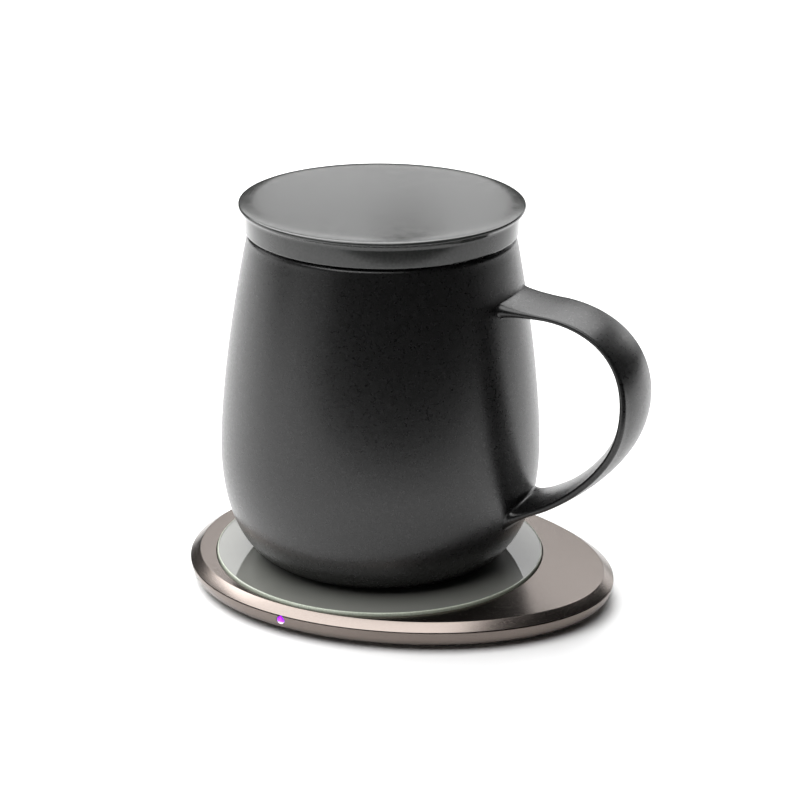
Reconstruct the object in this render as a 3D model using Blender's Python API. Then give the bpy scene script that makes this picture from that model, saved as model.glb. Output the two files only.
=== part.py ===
"""Self heating mug: a ceramic mug and lid on an egg-shaped induction warming base.

Units are metres and +Z is up. The origin is on the mug's axis, on the surface that the base stands on.
+X runs along the mug's handle and the long end of the base.
"""

import math

import bmesh
import bpy
import numpy as np
from mathutils import Matrix, Vector

# Clearances
GAP = 0.0003
OVERRUN = 0.002
MERGE = 0.0000001

# Fineness, in counts and degrees
ROUND_STEPS = 40
OUTLINE_STEPS = 60
SMALL_STEPS = 16
SHARP_DEGREES = 35
GAP_STEPS = 4
NEIGHBOUR_RADII = 16
MILLIMETRES = 1000

# Mug
MUG_HEIGHT = 0.0931
MUG_RADIUS = 0.0445
MUG_RIM_RADIUS = 0.0365
MUG_BELLY_HEIGHT = 0.031
MUG_TUCK = 0.0019
MUG_WALL = 0.0036
MUG_FLOOR = 0.0052
MUG_RIM_ROUND = 0.0016
MUG_FOOT_WIDTH = 0.0034
MUG_FOOT_EDGE = 0.0004
MUG_RECESS = 0.0013
SHOULDER_POWER = 1.58
TUCK_POWER = 1 / 3
FLOOR_POWER = 1 / 2

# Handle
HANDLE_REACH = 0.074
HANDLE_LOW = 0.0199
HANDLE_RISE = 0.0584
HANDLE_WIDTH = 0.0187
HANDLE_WIDEN = 0.0054
HANDLE_THICKNESS = 0.0014
HANDLE_THICKEN = 0.0007
HANDLE_CROWN = 0.0003
HANDLE_CROWN_SWELL = 0.0013
HANDLE_EDGE = 0.0006
HANDLE_SWELL_SHARE = 0.67
HANDLE_FLARE = 0.005
HANDLE_PULL_SHARES = (
    (0.514, 0.955),
    (0.585, 1.021),
    (1.454, 1.12),
    (0.679, 0.12),
    (1.205, 0.863),
    (0.983, 0.105),
    (0.56, -0.015),
)
HANDLE_FLARE_SHARE = 0.14
HANDLE_STEPS = 40
CORNER_STEPS = 2
CROWN_STEPS = 4

# Heating film under the mug
FILM_MARGIN = 0.0025
FILM_THICKNESS = 0.0003

# Lid
LID_HEIGHT = 0.0078
LID_RIM_RADIUS = 0.039
LID_RIM_BAND = 0.0011
LID_SKIRT_RADIUS = 0.0374
LID_SKIRT_HEIGHT = 0.0048
LID_EDGE = 0.0004
LID_PLATE = 0.0039
LID_FIT = 0.0006
LID_SPIGOT_DEPTH = 0.007
LID_SPIGOT_WALL = 0.003

# Base outline, where lands are the flat bands of its top between the glass and the chamfer
BASE_LENGTH = 0.1223
BASE_EGG_SHARE = 0.195
SIDE_LAND = 0.0003
BACK_LAND = 0.00505
NOSE_LAND = 0.01905

# Base section
UNDERSIDE_HEIGHT = 0.0014
PARTING_HEIGHT = 0.0063
HOUSING_HEIGHT = 0.0082
CHAMFER_WIDTH = 0.0028
CURVE_WIDTH = 0.0034
HOUSING_WALL = 0.0015
HOUSING_FLOOR = 0.0012
UPPER_RIM_WIDTH = 0.0018
UPPER_PLATE = 0.0015
MAT_INSET = 0.0055

# Glass and its seat
GLASS_THICKNESS = 0.0015
GLASS_PROUD = 0.0008
GLASS_EDGE = 0.0003
ADHESIVE_THICKNESS = 0.0004
ADHESIVE_WIDTH = 0.003
SEAT_LEDGE = 0.0012
SEAT_LEDGE_WIDTH = 0.0041
SEAT_WALL = 0.0011

# Coil and what holds it
WIRE_RADIUS = 0.0006
COIL_PITCH = 0.0018
COIL_START_RADIUS = 0.0095
COIL_MARGIN = 0.0137
COIL_STEPS = 24
LEAD_OFFSET = 0.0045
LEAD_DROP = 0.0017
LEAD_CLIMB = 0.0028
LEAD_CLIMB_MARGIN = 0.0002
LEAD_STEP = 0.004
LEAVE_DEGREES = 35
LEAVE_MARGIN = 0.0016
LEAVE_PULL = 0.016
LEAVE_STEPS = 8
MICA_THICKNESS = 0.0004
MICA_HOLE_RADIUS = 0.003
FERRITE_THICKNESS = 0.0008
FERRITE_INNER_RADIUS = 0.011
FERRITE_MARGIN = 0.0022
CARRIER_FLOOR = 0.001
CARRIER_WELL = 0.0006
CARRIER_RIM = 0.0012
CARRIER_GAP = 0.0006
CARRIER_NOTCH_DEPTH = 0.0081
CARRIER_NOTCH_WIDTH = 0.015

# Temperature sensor
SENSOR_RADIUS = 0.0015
SENSOR_HEIGHT = 0.001
SLEEVE_RADIUS = 0.0024
SLEEVE_BORE = 0.00095
SLEEVE_CUP_DEPTH = 0.001
TAIL_WIDTH = 0.0012
TAIL_THICKNESS = 0.0002
TAIL_CLIMB = 0.009
TAIL_CLIMB_MARGIN = 0.001
TAIL_LAP = 0.002

# Circuit board, with each place on it an angle in degrees and a distance out from the board's inner edge
BOARD_THICKNESS = 0.0008
BOARD_CLEARANCE = 0.0021
BOARD_INSET = 0.0035
BOARD_DEGREES = 58
BOARD_STEPS = 28
TERMINAL_SIZE = (0.0024, 0.0022, 0.0014)
TERMINAL_MARGIN = 0.0035
CHIP_SIZE = (0.004, 0.004, 0.0009)
SWITCH_SIZE = (0.0033, 0.0033, 0.0008)
TANK_SIZE = (0.0045, 0.0032, 0.0018)
INDUCTOR_SIZE = (0.005, 0.005, 0.0018)
INPUT_SIZE = (0.0032, 0.0025, 0.0016)
CHIP_EDGE = 0.0002
CHIP_PLACE = (0.0, 0.011)
SWITCH_PLACES = ((-14.0, 0.0065), (-20.5, 0.0065))
TANK_PLACES = ((9.5, 0.009), (15.5, 0.008), (-8.5, 0.0105))
INDUCTOR_PLACE = (-29.0, 0.0043)
INPUT_PLACES = ((-36.5, 0.0029), (-40.8, 0.0024))

# Inlet
INLET_TURN_DEGREES = 40
INLET_HEIGHT = 0.0043
INLET_WIDTH = 0.00894
INLET_THICKNESS = 0.00326
INLET_DEPTH = 0.00735
INLET_WALL = 0.0003
INLET_INSET = 0.0009
TONGUE_SIZE = (0.0062, 0.00669, 0.0007)

# Status light
LIGHT_TURN_DEGREES = -104.2
LIGHT_HEIGHT = 0.0048
LENS_RADIUS = 0.0011
LENS_INSET = 0.0001
LENS_HEAD = 0.0014
LENS_STEM = 0.003
LENS_STEM_RADIUS = 0.00055
LENS_STEM_DROP = 0.0004
LED_SIZE = (0.0007, 0.0016, 0.0008)
LED_BOARD_SIZE = (0.0006, 0.004, 0.0019)
LIGHT_TAIL_CLEARANCE = 0.0008
LIGHT_TAIL_LAP = 0.0015
LIGHT_TAIL_HEIGHT = 0.0009
LIGHT_TAIL_START_DEGREES = -100
LIGHT_TAIL_TURN_DEGREES = -46
LIGHT_TAIL_STEPS = 9

# Screws
CASE_SCREW_DEGREES = (35, 145, 215, 325)
CASE_SCREW_RADIUS = 0.001
CASE_SCREW_HEAD_RADIUS = 0.0018
CASE_SCREW_HEAD = 0.0008
CASE_SCREW_SUNK = 0.0012
CASE_SCREW_LENGTH = 0.0032
CASE_POST_RADIUS = 0.003
CASE_POST_CLEARANCE = 0.0002
CASE_POST_RISE = 0.0009
CASE_BOSS_RADIUS = 0.0022
CASE_BORE_ROOF = 0.0006
BOARD_SCREW_RADIUS = 0.0008
BOARD_SCREW_HEAD_RADIUS = 0.0015
BOARD_SCREW_HEAD = 0.0009
BOARD_SCREW_BITE = 0.0006
BOARD_SCREW_PLACES = ((-18.5, 0.0115), (38.0, 0.0024))
SOCKET_SHARE = 0.5

# Sizes and heights that follow from the ones above
RECESS_RADIUS = (BASE_LENGTH - BACK_LAND - NOSE_LAND) / 2 - CHAMFER_WIDTH
GLASS_RADIUS = RECESS_RADIUS - GAP
BASE_WIDTH = 2 * (RECESS_RADIUS + SIDE_LAND + CHAMFER_WIDTH)
BASE_SHIFT = (NOSE_LAND - BACK_LAND) / 2
GLASS_TOP = HOUSING_HEIGHT + GLASS_PROUD
GLASS_BOTTOM = GLASS_TOP - GLASS_THICKNESS
SEAT_TOP = GLASS_BOTTOM - GAP - ADHESIVE_THICKNESS - GAP
SEAT_BOTTOM = SEAT_TOP - SEAT_LEDGE
WINDOW_RADIUS = RECESS_RADIUS - SEAT_LEDGE_WIDTH
CUP_RADIUS = RECESS_RADIUS + SEAT_WALL
CURVE_DROP = PARTING_HEIGHT - UNDERSIDE_HEIGHT
FLOOR_TOP = UNDERSIDE_HEIGHT + HOUSING_FLOOR
BOARD_INNER_RADIUS = CUP_RADIUS + BOARD_CLEARANCE
TERMINAL_START = BOARD_INNER_RADIUS + TERMINAL_MARGIN
CARRIER_RADIUS = WINDOW_RADIUS - CARRIER_GAP
CARRIER_NOTCH_START = CARRIER_RADIUS - CARRIER_NOTCH_DEPTH
COIL_TURNS = int((CARRIER_RADIUS - COIL_MARGIN - COIL_START_RADIUS) / COIL_PITCH)
LEAD_CLIMB_END = BOARD_INNER_RADIUS - LEAD_CLIMB_MARGIN
LEAD_CLIMB_START = LEAD_CLIMB_END - LEAD_CLIMB
LEAVE_REACH = CARRIER_RADIUS - LEAVE_MARGIN
TAIL_CLIMB_END = BOARD_INNER_RADIUS - TAIL_CLIMB_MARGIN
TAIL_CLIMB_START = TAIL_CLIMB_END - TAIL_CLIMB
TAIL_END = BOARD_INNER_RADIUS + TAIL_LAP
LIGHT_TAIL_RADIUS = CARRIER_RADIUS + LIGHT_TAIL_CLEARANCE
LIGHT_TAIL_END = BOARD_INNER_RADIUS + LIGHT_TAIL_LAP
CASE_SCREW_RING = CARRIER_RADIUS + CASE_POST_CLEARANCE + CASE_POST_RADIUS
CARRIER_BOTTOM = FLOOR_TOP + GAP
CARRIER_TOP = CARRIER_BOTTOM + CARRIER_FLOOR
WELL_TOP = CARRIER_TOP - CARRIER_WELL
FERRITE_BOTTOM = CARRIER_TOP + GAP
FERRITE_TOP = FERRITE_BOTTOM + FERRITE_THICKNESS
COIL_HEIGHT = FERRITE_TOP + GAP + WIRE_RADIUS
LEAD_HEIGHT = COIL_HEIGHT - LEAD_DROP
MICA_BOTTOM = GLASS_BOTTOM - GAP - MICA_THICKNESS
BOARD_BOTTOM = FLOOR_TOP + GAP
BOARD_TOP = BOARD_BOTTOM + BOARD_THICKNESS
ON_BOARD = BOARD_TOP + GAP
MUG_FOOT = GLASS_TOP + GAP
LID_FOOT = MUG_HEIGHT + GAP


# Scene helpers

def clear_scene():
    for item in list(bpy.data.objects):
        bpy.data.objects.remove(item, do_unlink=True)


def material(name, colour, roughness, metallic=0.0):
    made = bpy.data.materials.new(name)
    made.use_nodes = True
    shader = made.node_tree.nodes["Principled BSDF"]
    shader.inputs["Base Color"].default_value = (*colour, 1.0)
    shader.inputs["Roughness"].default_value = roughness
    shader.inputs["Metallic"].default_value = metallic
    made.diffuse_color = (*colour, 1.0)
    return made


def empty(name, height, parent=None):
    made = bpy.data.objects.new(name, None)
    made.location.z = height
    made.parent = parent
    bpy.context.collection.objects.link(made)
    return made


def link(name, mesh, finish, parent=None):
    made = bpy.data.objects.new(name, mesh)
    made.parent = parent
    if finish is not None:
        mesh.materials.append(finish)
    bpy.context.collection.objects.link(made)
    return made


def solid(name, bm, finish, parent=None):
    """Turn a closed bmesh into an object, faces outward, smooth except at its sharp edges."""
    bmesh.ops.recalc_face_normals(bm, faces=bm.faces)
    mesh = bpy.data.meshes.new(name)
    bm.to_mesh(mesh)
    bm.free()
    mesh.shade_smooth()
    mesh.set_sharp_from_angle(angle=math.radians(SHARP_DEGREES))
    return link(name, mesh, finish, parent)


def boolean(target, tool, operation="DIFFERENCE", solver="EXACT"):
    """Cut or join a hidden tool object into the target."""
    tool.hide_render = True
    tool.display_type = "WIRE"
    modifier = target.modifiers.new(tool.name, "BOOLEAN")
    modifier.object = tool
    modifier.operation = operation
    modifier.solver = solver


# Shape helpers

def turned(name, profile, finish, parent=None, steps=ROUND_STEPS):
    """Spin a profile of (radius, height) points round Z; one that leaves the axis open closes on itself."""
    bm = bmesh.new()
    verts = [bm.verts.new((radius, 0, height)) for radius, height in profile]
    edges = [bm.edges.new(pair) for pair in zip(verts, verts[1:])]
    if profile[0][0] > 0:
        edges.append(bm.edges.new((verts[-1], verts[0])))
    bmesh.ops.spin(
        bm, geom=verts + edges, cent=(0, 0, 0), axis=(0, 0, 1), angle=math.tau, steps=steps, use_merge=True
    )
    bmesh.ops.remove_doubles(bm, verts=bm.verts, dist=MERGE)
    return solid(name, bm, finish, parent)


def disc(name, radius, low, high, finish, parent=None, steps=ROUND_STEPS):
    return turned(name, [(0, low), (radius, low), (radius, high), (0, high)], finish, parent, steps)


def washer(name, inner, outer, low, high, finish, parent=None):
    return turned(name, [(inner, low), (outer, low), (outer, high), (inner, high)], finish, parent)


def lofted(name, rings, finish, parent=None, closed=False):
    """Skin a chain of point rings; its two ends are capped, or joined to each other."""
    bm = bmesh.new()
    loops = [[bm.verts.new(point) for point in ring] for ring in rings]
    pairs = list(zip(loops, loops[1:]))
    if closed:
        pairs.append((loops[-1], loops[0]))
    else:
        bm.faces.new(loops[0])
        bm.faces.new(loops[-1])
    for first, second in pairs:
        count = len(first)
        for index in range(count):
            after = (index + 1) % count
            bm.faces.new((first[index], first[after], second[after], second[index]))
    return solid(name, bm, finish, parent)


def block(name, size, place, finish, edge=0.0):
    """A box with its centre at a place, which is a matrix, and its upright edges and top bevelled."""
    bm = bmesh.new()
    bmesh.ops.create_cube(bm, size=1, matrix=Matrix.Diagonal((*size, 1)))
    if edge > 0:
        bmesh.ops.bevel(bm, geom=bm.edges, offset=edge, segments=1, affect="EDGES")
    made = solid(name, bm, finish)
    made.matrix_world = place
    return made


def rod(name, radius, low, high, finish, place=None, steps=SMALL_STEPS):
    made = disc(name, radius, low, high, finish, steps=steps)
    if place is not None:
        made.matrix_world = place
    return made


def ribbon(name, path, across, width, thickness, finish):
    """A flat cable along a path; across gives the direction of its width at each point."""
    rings = []
    for index, point in enumerate(path):
        ahead = path[min(index + 1, len(path) - 1)]
        behind = path[max(index - 1, 0)]
        side = across.normalized()
        normal = (ahead - behind).normalized().cross(side)
        half_width = side * (width / 2)
        half_depth = normal * (thickness / 2)
        rings.append([
            point + half_width + half_depth,
            point - half_width + half_depth,
            point - half_width - half_depth,
            point + half_width - half_depth,
        ])
    return lofted(name, rings, finish)


def blend(share):
    """Ease from 0 to 1 with level ends."""
    return share * share * (3 - 2 * share)


def bezier(points, share):
    """The point at a share of the way along the smooth curve that a chain of pulling points shapes."""
    while len(points) > 1:
        points = [first.lerp(second, share) for first, second in zip(points, points[1:])]
    return points[0]


# Base outline

def outline_point(turn, inset):
    """The egg's point at a turn, moved inward along its normal."""
    swell = 1 + BASE_EGG_SHARE * math.cos(turn)
    point = Vector((
        BASE_SHIFT + BASE_LENGTH / 2 * math.cos(turn),
        BASE_WIDTH / 2 * math.sin(turn) / math.sqrt(swell),
    ))
    return point - outline_normal(turn) * inset


def outline_normal(turn):
    swell = 1 + BASE_EGG_SHARE * math.cos(turn)
    along_x = -BASE_LENGTH / 2 * math.sin(turn)
    rise = math.cos(turn) / math.sqrt(swell)
    bulge = BASE_EGG_SHARE * math.sin(turn) ** 2 / (2 * swell ** 1.5)
    along_y = BASE_WIDTH / 2 * (rise + bulge)
    return Vector((along_y, -along_x)).normalized()


OUTLINE_TURNS = [math.tau * index / OUTLINE_STEPS for index in range(OUTLINE_STEPS)]


def egg_ring(inset, height):
    return [(*outline_point(turn, inset), height) for turn in OUTLINE_TURNS]


def round_ring(radius, height):
    """A circle about the mug's axis, with its points in line with the egg's."""
    return [(*(outline_point(turn, 0).normalized() * radius), height) for turn in OUTLINE_TURNS]


def curve_ring(angle, wall):
    """A ring of the side that curves under, at an angle from the parting line down."""
    inset = CURVE_WIDTH * (1 - math.cos(angle)) + wall
    return egg_ring(inset, PARTING_HEIGHT - CURVE_DROP * math.sin(angle))


def facing(turn, inset, height):
    """A frame on the base's side: X points outward along the outline's normal."""
    normal = outline_normal(turn)
    point = outline_point(turn, inset)
    frame = Matrix.Rotation(math.atan2(normal.y, normal.x), 4, "Z")
    frame.translation = (point.x, point.y, height)
    return frame


def polar(degrees, radius, height=0.0):
    """A frame at an angle and radius from the mug's axis: X points outward."""
    frame = Matrix.Rotation(math.radians(degrees), 4, "Z")
    return frame @ Matrix.Translation((radius, 0, height))


def board_place(place, height=0.0):
    """The frame of a place on the circuit board, given as degrees and a distance from its inner edge."""
    degrees, out = place
    return polar(degrees, BOARD_INNER_RADIUS + out, height)


# Mug

def mug_outer(height):
    """The cup's outer radius at a height above its foot."""
    if height > MUG_BELLY_HEIGHT:
        share = (height - MUG_BELLY_HEIGHT) / (MUG_HEIGHT - MUG_BELLY_HEIGHT)
        return MUG_RADIUS - (MUG_RADIUS - MUG_RIM_RADIUS) * share ** SHOULDER_POWER
    share = (MUG_BELLY_HEIGHT - height) / (MUG_BELLY_HEIGHT + MUG_TUCK)
    return MUG_RADIUS * math.sqrt(1 - share * share) ** TUCK_POWER


def tuck_profile(offset, steps):
    """The tucked-in lower side from the foot to the belly, moved outward by an offset."""
    start = math.asin(MUG_BELLY_HEIGHT / (MUG_BELLY_HEIGHT + MUG_TUCK))
    points = []
    for step in range(steps + 1):
        angle = start * (1 - step / steps)
        height = MUG_BELLY_HEIGHT - (MUG_BELLY_HEIGHT + MUG_TUCK) * math.sin(angle)
        points.append((mug_outer(height) + offset, max(height, 0)))
    return points


def shoulder_profile(offset, top, steps):
    """The side from the belly up to a height, moved outward by an offset."""
    points = []
    for step in range(1, steps + 1):
        height = MUG_BELLY_HEIGHT + (top - MUG_BELLY_HEIGHT) * step / steps
        points.append((mug_outer(height) + offset, height))
    return points


def mug_profile():
    top = MUG_HEIGHT - MUG_RIM_ROUND
    outer = tuck_profile(0, 9) + shoulder_profile(0, top, 6)
    foot_radius, _ = outer[0]
    outer[0] = (foot_radius, MUG_FOOT_EDGE)
    rim_middle = mug_outer(top) - MUG_WALL / 2
    rim = []
    for step in range(1, 6):
        angle = math.pi * step / 6
        rim.append((rim_middle + MUG_WALL / 2 * math.cos(angle), top + MUG_RIM_ROUND * math.sin(angle)))
    inner = list(reversed(shoulder_profile(-MUG_WALL, top, 5)))
    bowl = []
    for step in range(7):
        angle = math.pi / 2 * step / 7
        radius = (MUG_RADIUS - MUG_WALL) * math.cos(angle) ** FLOOR_POWER
        bowl.append((radius, MUG_BELLY_HEIGHT - (MUG_BELLY_HEIGHT - MUG_FLOOR) * math.sin(angle)))
    foot_inner = foot_radius - MUG_FOOT_WIDTH
    foot = [
        (0, MUG_RECESS),
        (foot_inner - MUG_FOOT_EDGE, MUG_RECESS),
        (foot_inner, MUG_RECESS - MUG_FOOT_EDGE),
        (foot_inner, MUG_FOOT_EDGE),
        (foot_inner + MUG_FOOT_EDGE, 0),
        (foot_radius - MUG_FOOT_EDGE, 0),
    ]
    return foot + outer + rim + inner + bowl + [(0, MUG_FLOOR)]


def strap_section(width, thickness, crown):
    """A round-edged strap section with crowned faces, as (across, out) points."""
    points = []
    for corner, (side, face) in enumerate(((1, 1), (-1, 1), (-1, -1), (1, -1))):
        across = side * (width / 2 - HANDLE_EDGE)
        out = face * (thickness / 2 - HANDLE_EDGE)
        for step in range(CORNER_STEPS + 1):
            angle = math.pi / 2 * (corner + step / CORNER_STEPS)
            points.append((across + HANDLE_EDGE * math.cos(angle), out + HANDLE_EDGE * math.sin(angle)))
        if side == face:
            for step in range(1, CROWN_STEPS):
                share = 1 - 2 * step / CROWN_STEPS
                rise = thickness / 2 + crown * (1 - share * share)
                points.append((across * share, face * rise))
    return points


def handle_rings():
    """Strap sections along the handle, stoutest below its middle, which flare out into the mug."""
    pulls = [
        Vector((HANDLE_REACH * out, 0, HANDLE_LOW + HANDLE_RISE * up))
        for out, up in HANDLE_PULL_SHARES
    ]
    path = [bezier(pulls, step / HANDLE_STEPS) for step in range(HANDLE_STEPS + 1)]
    rings = []
    for index, point in enumerate(path):
        along = (path[min(index + 1, HANDLE_STEPS)] - path[max(index - 1, 0)]).normalized()
        normal = along.cross(Vector((0, 1, 0)))
        share = index / HANDLE_STEPS
        swell = math.cos(math.pi * (share - HANDLE_SWELL_SHARE)) ** 2
        flare = HANDLE_FLARE * max(0, 1 - min(share, 1 - share) / HANDLE_FLARE_SHARE) ** 2
        width = HANDLE_WIDTH + HANDLE_WIDEN * swell + flare
        thickness = HANDLE_THICKNESS + HANDLE_THICKEN * swell + flare
        section = strap_section(width, thickness, HANDLE_CROWN + HANDLE_CROWN_SWELL * swell)
        rings.append([point + Vector((0, across, 0)) + normal * out for across, out in section])
    return rings


def build_mug(finishes, mug):
    turned("mug_body", mug_profile(), finishes["glaze"], mug)
    handle = lofted("mug_handle", handle_rings(), finishes["glaze"], mug)
    side = tuck_profile(GAP, 9) + shoulder_profile(GAP, MUG_HEIGHT, 6)
    envelope = [(0, 0), *side, (0, MUG_HEIGHT)]
    boolean(handle, turned("mug_envelope", envelope, None, mug))
    film_top = MUG_RECESS - GAP
    radius = mug_outer(0) - MUG_FOOT_WIDTH - FILM_MARGIN
    disc("heating_film", radius, film_top - FILM_THICKNESS, film_top, finishes["silver"], mug)


# Lid

def lid_profile():
    band_low = LID_HEIGHT - LID_RIM_BAND
    flare = []
    for step in range(5):
        angle = math.pi / 2 * step / 4
        flare.append((
            LID_RIM_RADIUS - (LID_RIM_RADIUS - LID_SKIRT_RADIUS) * math.sin(angle),
            band_low - (band_low - LID_SKIRT_HEIGHT) * (1 - math.cos(angle)),
        ))
    spigot = mug_outer(MUG_HEIGHT - MUG_RIM_ROUND) - MUG_WALL - LID_FIT
    hollow = spigot - LID_SPIGOT_WALL
    roof = LID_HEIGHT - LID_PLATE
    top = [(0, LID_HEIGHT), (LID_RIM_RADIUS - LID_EDGE, LID_HEIGHT), (LID_RIM_RADIUS, LID_HEIGHT - LID_EDGE)]
    skirt = [(LID_SKIRT_RADIUS, LID_EDGE), (LID_SKIRT_RADIUS - LID_EDGE, 0)]
    plug = [
        (spigot, 0),
        (spigot, LID_EDGE - LID_SPIGOT_DEPTH),
        (spigot - LID_EDGE, -LID_SPIGOT_DEPTH),
        (hollow + LID_EDGE, -LID_SPIGOT_DEPTH),
        (hollow, LID_EDGE - LID_SPIGOT_DEPTH),
        (hollow, roof - LID_EDGE),
        (hollow - LID_EDGE, roof),
        (0, roof),
    ]
    return top + flare + skirt + plug


def build_lid(finishes, lid):
    turned("lid", lid_profile(), finishes["lid glaze"], lid)


# Housings

def build_upper_housing(finishes):
    rings = [
        egg_ring(0, PARTING_HEIGHT),
        egg_ring(CHAMFER_WIDTH, HOUSING_HEIGHT),
        round_ring(RECESS_RADIUS, HOUSING_HEIGHT),
        round_ring(RECESS_RADIUS, SEAT_TOP),
        round_ring(WINDOW_RADIUS, SEAT_TOP),
        round_ring(WINDOW_RADIUS, SEAT_BOTTOM),
        round_ring(CUP_RADIUS, SEAT_BOTTOM),
        round_ring(CUP_RADIUS, HOUSING_HEIGHT - UPPER_PLATE),
        egg_ring(UPPER_RIM_WIDTH, HOUSING_HEIGHT - UPPER_PLATE),
        egg_ring(UPPER_RIM_WIDTH, PARTING_HEIGHT),
    ]
    housing = lofted("upper_housing", rings, finishes["anodised"], closed=True)
    boss_low = FLOOR_TOP + CASE_POST_RISE + GAP
    bore = CASE_SCREW_RADIUS + GAP
    for number, degrees in enumerate(CASE_SCREW_DEGREES, 1):
        place = polar(degrees, CASE_SCREW_RING)
        boss = rod(f"case_boss_{number}", CASE_BOSS_RADIUS, boss_low, SEAT_BOTTOM + GAP, None, place)
        boolean(housing, boss, "UNION")
        hole = rod(f"case_bore_{number}", bore, boss_low - OVERRUN, SEAT_TOP - CASE_BORE_ROOF, None, place)
        boolean(housing, hole)


def build_lower_housing(finishes):
    rim_angle = math.asin(GAP / CURVE_DROP)
    floor_angle = math.asin((PARTING_HEIGHT - FLOOR_TOP) / CURVE_DROP)
    outer = [curve_ring(math.pi / 2 + (rim_angle - math.pi / 2) * step / 6, 0) for step in range(7)]
    inner = [curve_ring(rim_angle + (floor_angle - rim_angle) * step / 3, HOUSING_WALL) for step in range(4)]
    housing = lofted("lower_housing", outer + inner, finishes["lower shell"])
    sunk = UNDERSIDE_HEIGHT + CASE_SCREW_SUNK
    head = CASE_SCREW_HEAD_RADIUS + GAP
    bore = CASE_SCREW_RADIUS + GAP
    post_top = FLOOR_TOP + CASE_POST_RISE
    for number, degrees in enumerate(CASE_SCREW_DEGREES, 1):
        place = polar(degrees, CASE_SCREW_RING)
        post = rod(f"case_post_{number}", CASE_POST_RADIUS, FLOOR_TOP - GAP, post_top, None, place)
        boolean(housing, post, "UNION", "MANIFOLD")
        hole = rod(f"case_hole_{number}", bore, UNDERSIDE_HEIGHT - OVERRUN, post_top + OVERRUN, None, place)
        boolean(housing, hole, solver="MANIFOLD")
        sink = rod(f"case_sink_{number}", head, UNDERSIDE_HEIGHT - OVERRUN, sunk, None, place)
        boolean(housing, sink, solver="MANIFOLD")
    bite = BOARD_SCREW_RADIUS + GAP
    for number, place in enumerate(BOARD_SCREW_PLACES, 1):
        low = FLOOR_TOP - BOARD_SCREW_BITE - GAP
        hole = rod(f"board_bore_{number}", bite, low, FLOOR_TOP + OVERRUN, None, board_place(place))
        boolean(housing, hole, solver="MANIFOLD")
    boolean(housing, inlet_hole("inlet_hole"), solver="MANIFOLD")
    light = light_frame() @ Matrix.Rotation(math.pi / 2, 4, "Y")
    hole = rod("light_hole", LENS_RADIUS + GAP, -HOUSING_WALL - OVERRUN, OVERRUN, None, light)
    boolean(housing, hole, solver="MANIFOLD")


def build_foot_mat(finishes):
    rings = [egg_ring(MAT_INSET, 0), egg_ring(MAT_INSET, UNDERSIDE_HEIGHT - GAP)]
    lofted("foot_mat", rings, finishes["silicone"])


def build_screws(finishes):
    low = UNDERSIDE_HEIGHT + CASE_SCREW_SUNK - GAP - CASE_SCREW_HEAD
    neck = low + CASE_SCREW_HEAD
    socket = CASE_SCREW_HEAD_RADIUS * SOCKET_SHARE
    case_profile = [
        (0, low + CASE_SCREW_HEAD * SOCKET_SHARE),
        (socket, low + CASE_SCREW_HEAD * SOCKET_SHARE),
        (socket, low),
        (CASE_SCREW_HEAD_RADIUS, low),
        (CASE_SCREW_HEAD_RADIUS, neck),
        (CASE_SCREW_RADIUS, neck),
        (CASE_SCREW_RADIUS, neck + CASE_SCREW_LENGTH),
        (0, neck + CASE_SCREW_LENGTH),
    ]
    for number, degrees in enumerate(CASE_SCREW_DEGREES, 1):
        made = turned(f"case_screw_{number}", case_profile, finishes["steel"], steps=SMALL_STEPS)
        made.matrix_world = polar(degrees, CASE_SCREW_RING)
    top = ON_BOARD + BOARD_SCREW_HEAD
    socket = BOARD_SCREW_HEAD_RADIUS * SOCKET_SHARE
    board_profile = [
        (0, FLOOR_TOP - BOARD_SCREW_BITE),
        (BOARD_SCREW_RADIUS, FLOOR_TOP - BOARD_SCREW_BITE),
        (BOARD_SCREW_RADIUS, ON_BOARD),
        (BOARD_SCREW_HEAD_RADIUS, ON_BOARD),
        (BOARD_SCREW_HEAD_RADIUS, top),
        (socket, top),
        (socket, top - BOARD_SCREW_HEAD * SOCKET_SHARE),
        (0, top - BOARD_SCREW_HEAD * SOCKET_SHARE),
    ]
    for number, place in enumerate(BOARD_SCREW_PLACES, 1):
        made = turned(f"board_screw_{number}", board_profile, finishes["steel"], steps=SMALL_STEPS)
        made.matrix_world = board_place(place)


# Glass, coil and sensor

def build_glass(finishes):
    profile = [
        (0, GLASS_BOTTOM),
        (GLASS_RADIUS - GLASS_EDGE, GLASS_BOTTOM),
        (GLASS_RADIUS, GLASS_BOTTOM + GLASS_EDGE),
        (GLASS_RADIUS, GLASS_TOP - GLASS_EDGE),
        (GLASS_RADIUS - GLASS_EDGE, GLASS_TOP),
        (0, GLASS_TOP),
    ]
    turned("glass_plate", profile, finishes["glass"])
    outer = GLASS_RADIUS - GAP
    inner = outer - ADHESIVE_WIDTH
    low = SEAT_TOP + GAP
    washer("glass_adhesive", inner, outer, low, low + ADHESIVE_THICKNESS, finishes["adhesive"])
    top = GLASS_BOTTOM - GAP
    washer("insulation_sheet", MICA_HOLE_RADIUS, CARRIER_RADIUS, MICA_BOTTOM, top, finishes["mica"])


def lead_height(reach):
    """The leads run low under the glass seat and climb onto the circuit board."""
    share = (reach - LEAD_CLIMB_START) / (LEAD_CLIMB_END - LEAD_CLIMB_START)
    climb = ON_BOARD + WIRE_RADIUS - LEAD_HEIGHT
    return LEAD_HEIGHT + climb * blend(min(max(share, 0), 1))


def lead_run(start, end, offset):
    """A lead's straight run along X, with a point at each step and at each bend of its climb."""
    steps = math.ceil(abs(end - start) / LEAD_STEP)
    stops = [start + (end - start) * step / steps for step in range(steps + 1)]
    middle = (LEAD_CLIMB_START + LEAD_CLIMB_END) / 2
    stops = sorted({*stops, LEAD_CLIMB_START, middle, LEAD_CLIMB_END}, reverse=end < start)
    return [Vector((stop, offset, lead_height(stop))) for stop in stops]


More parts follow.
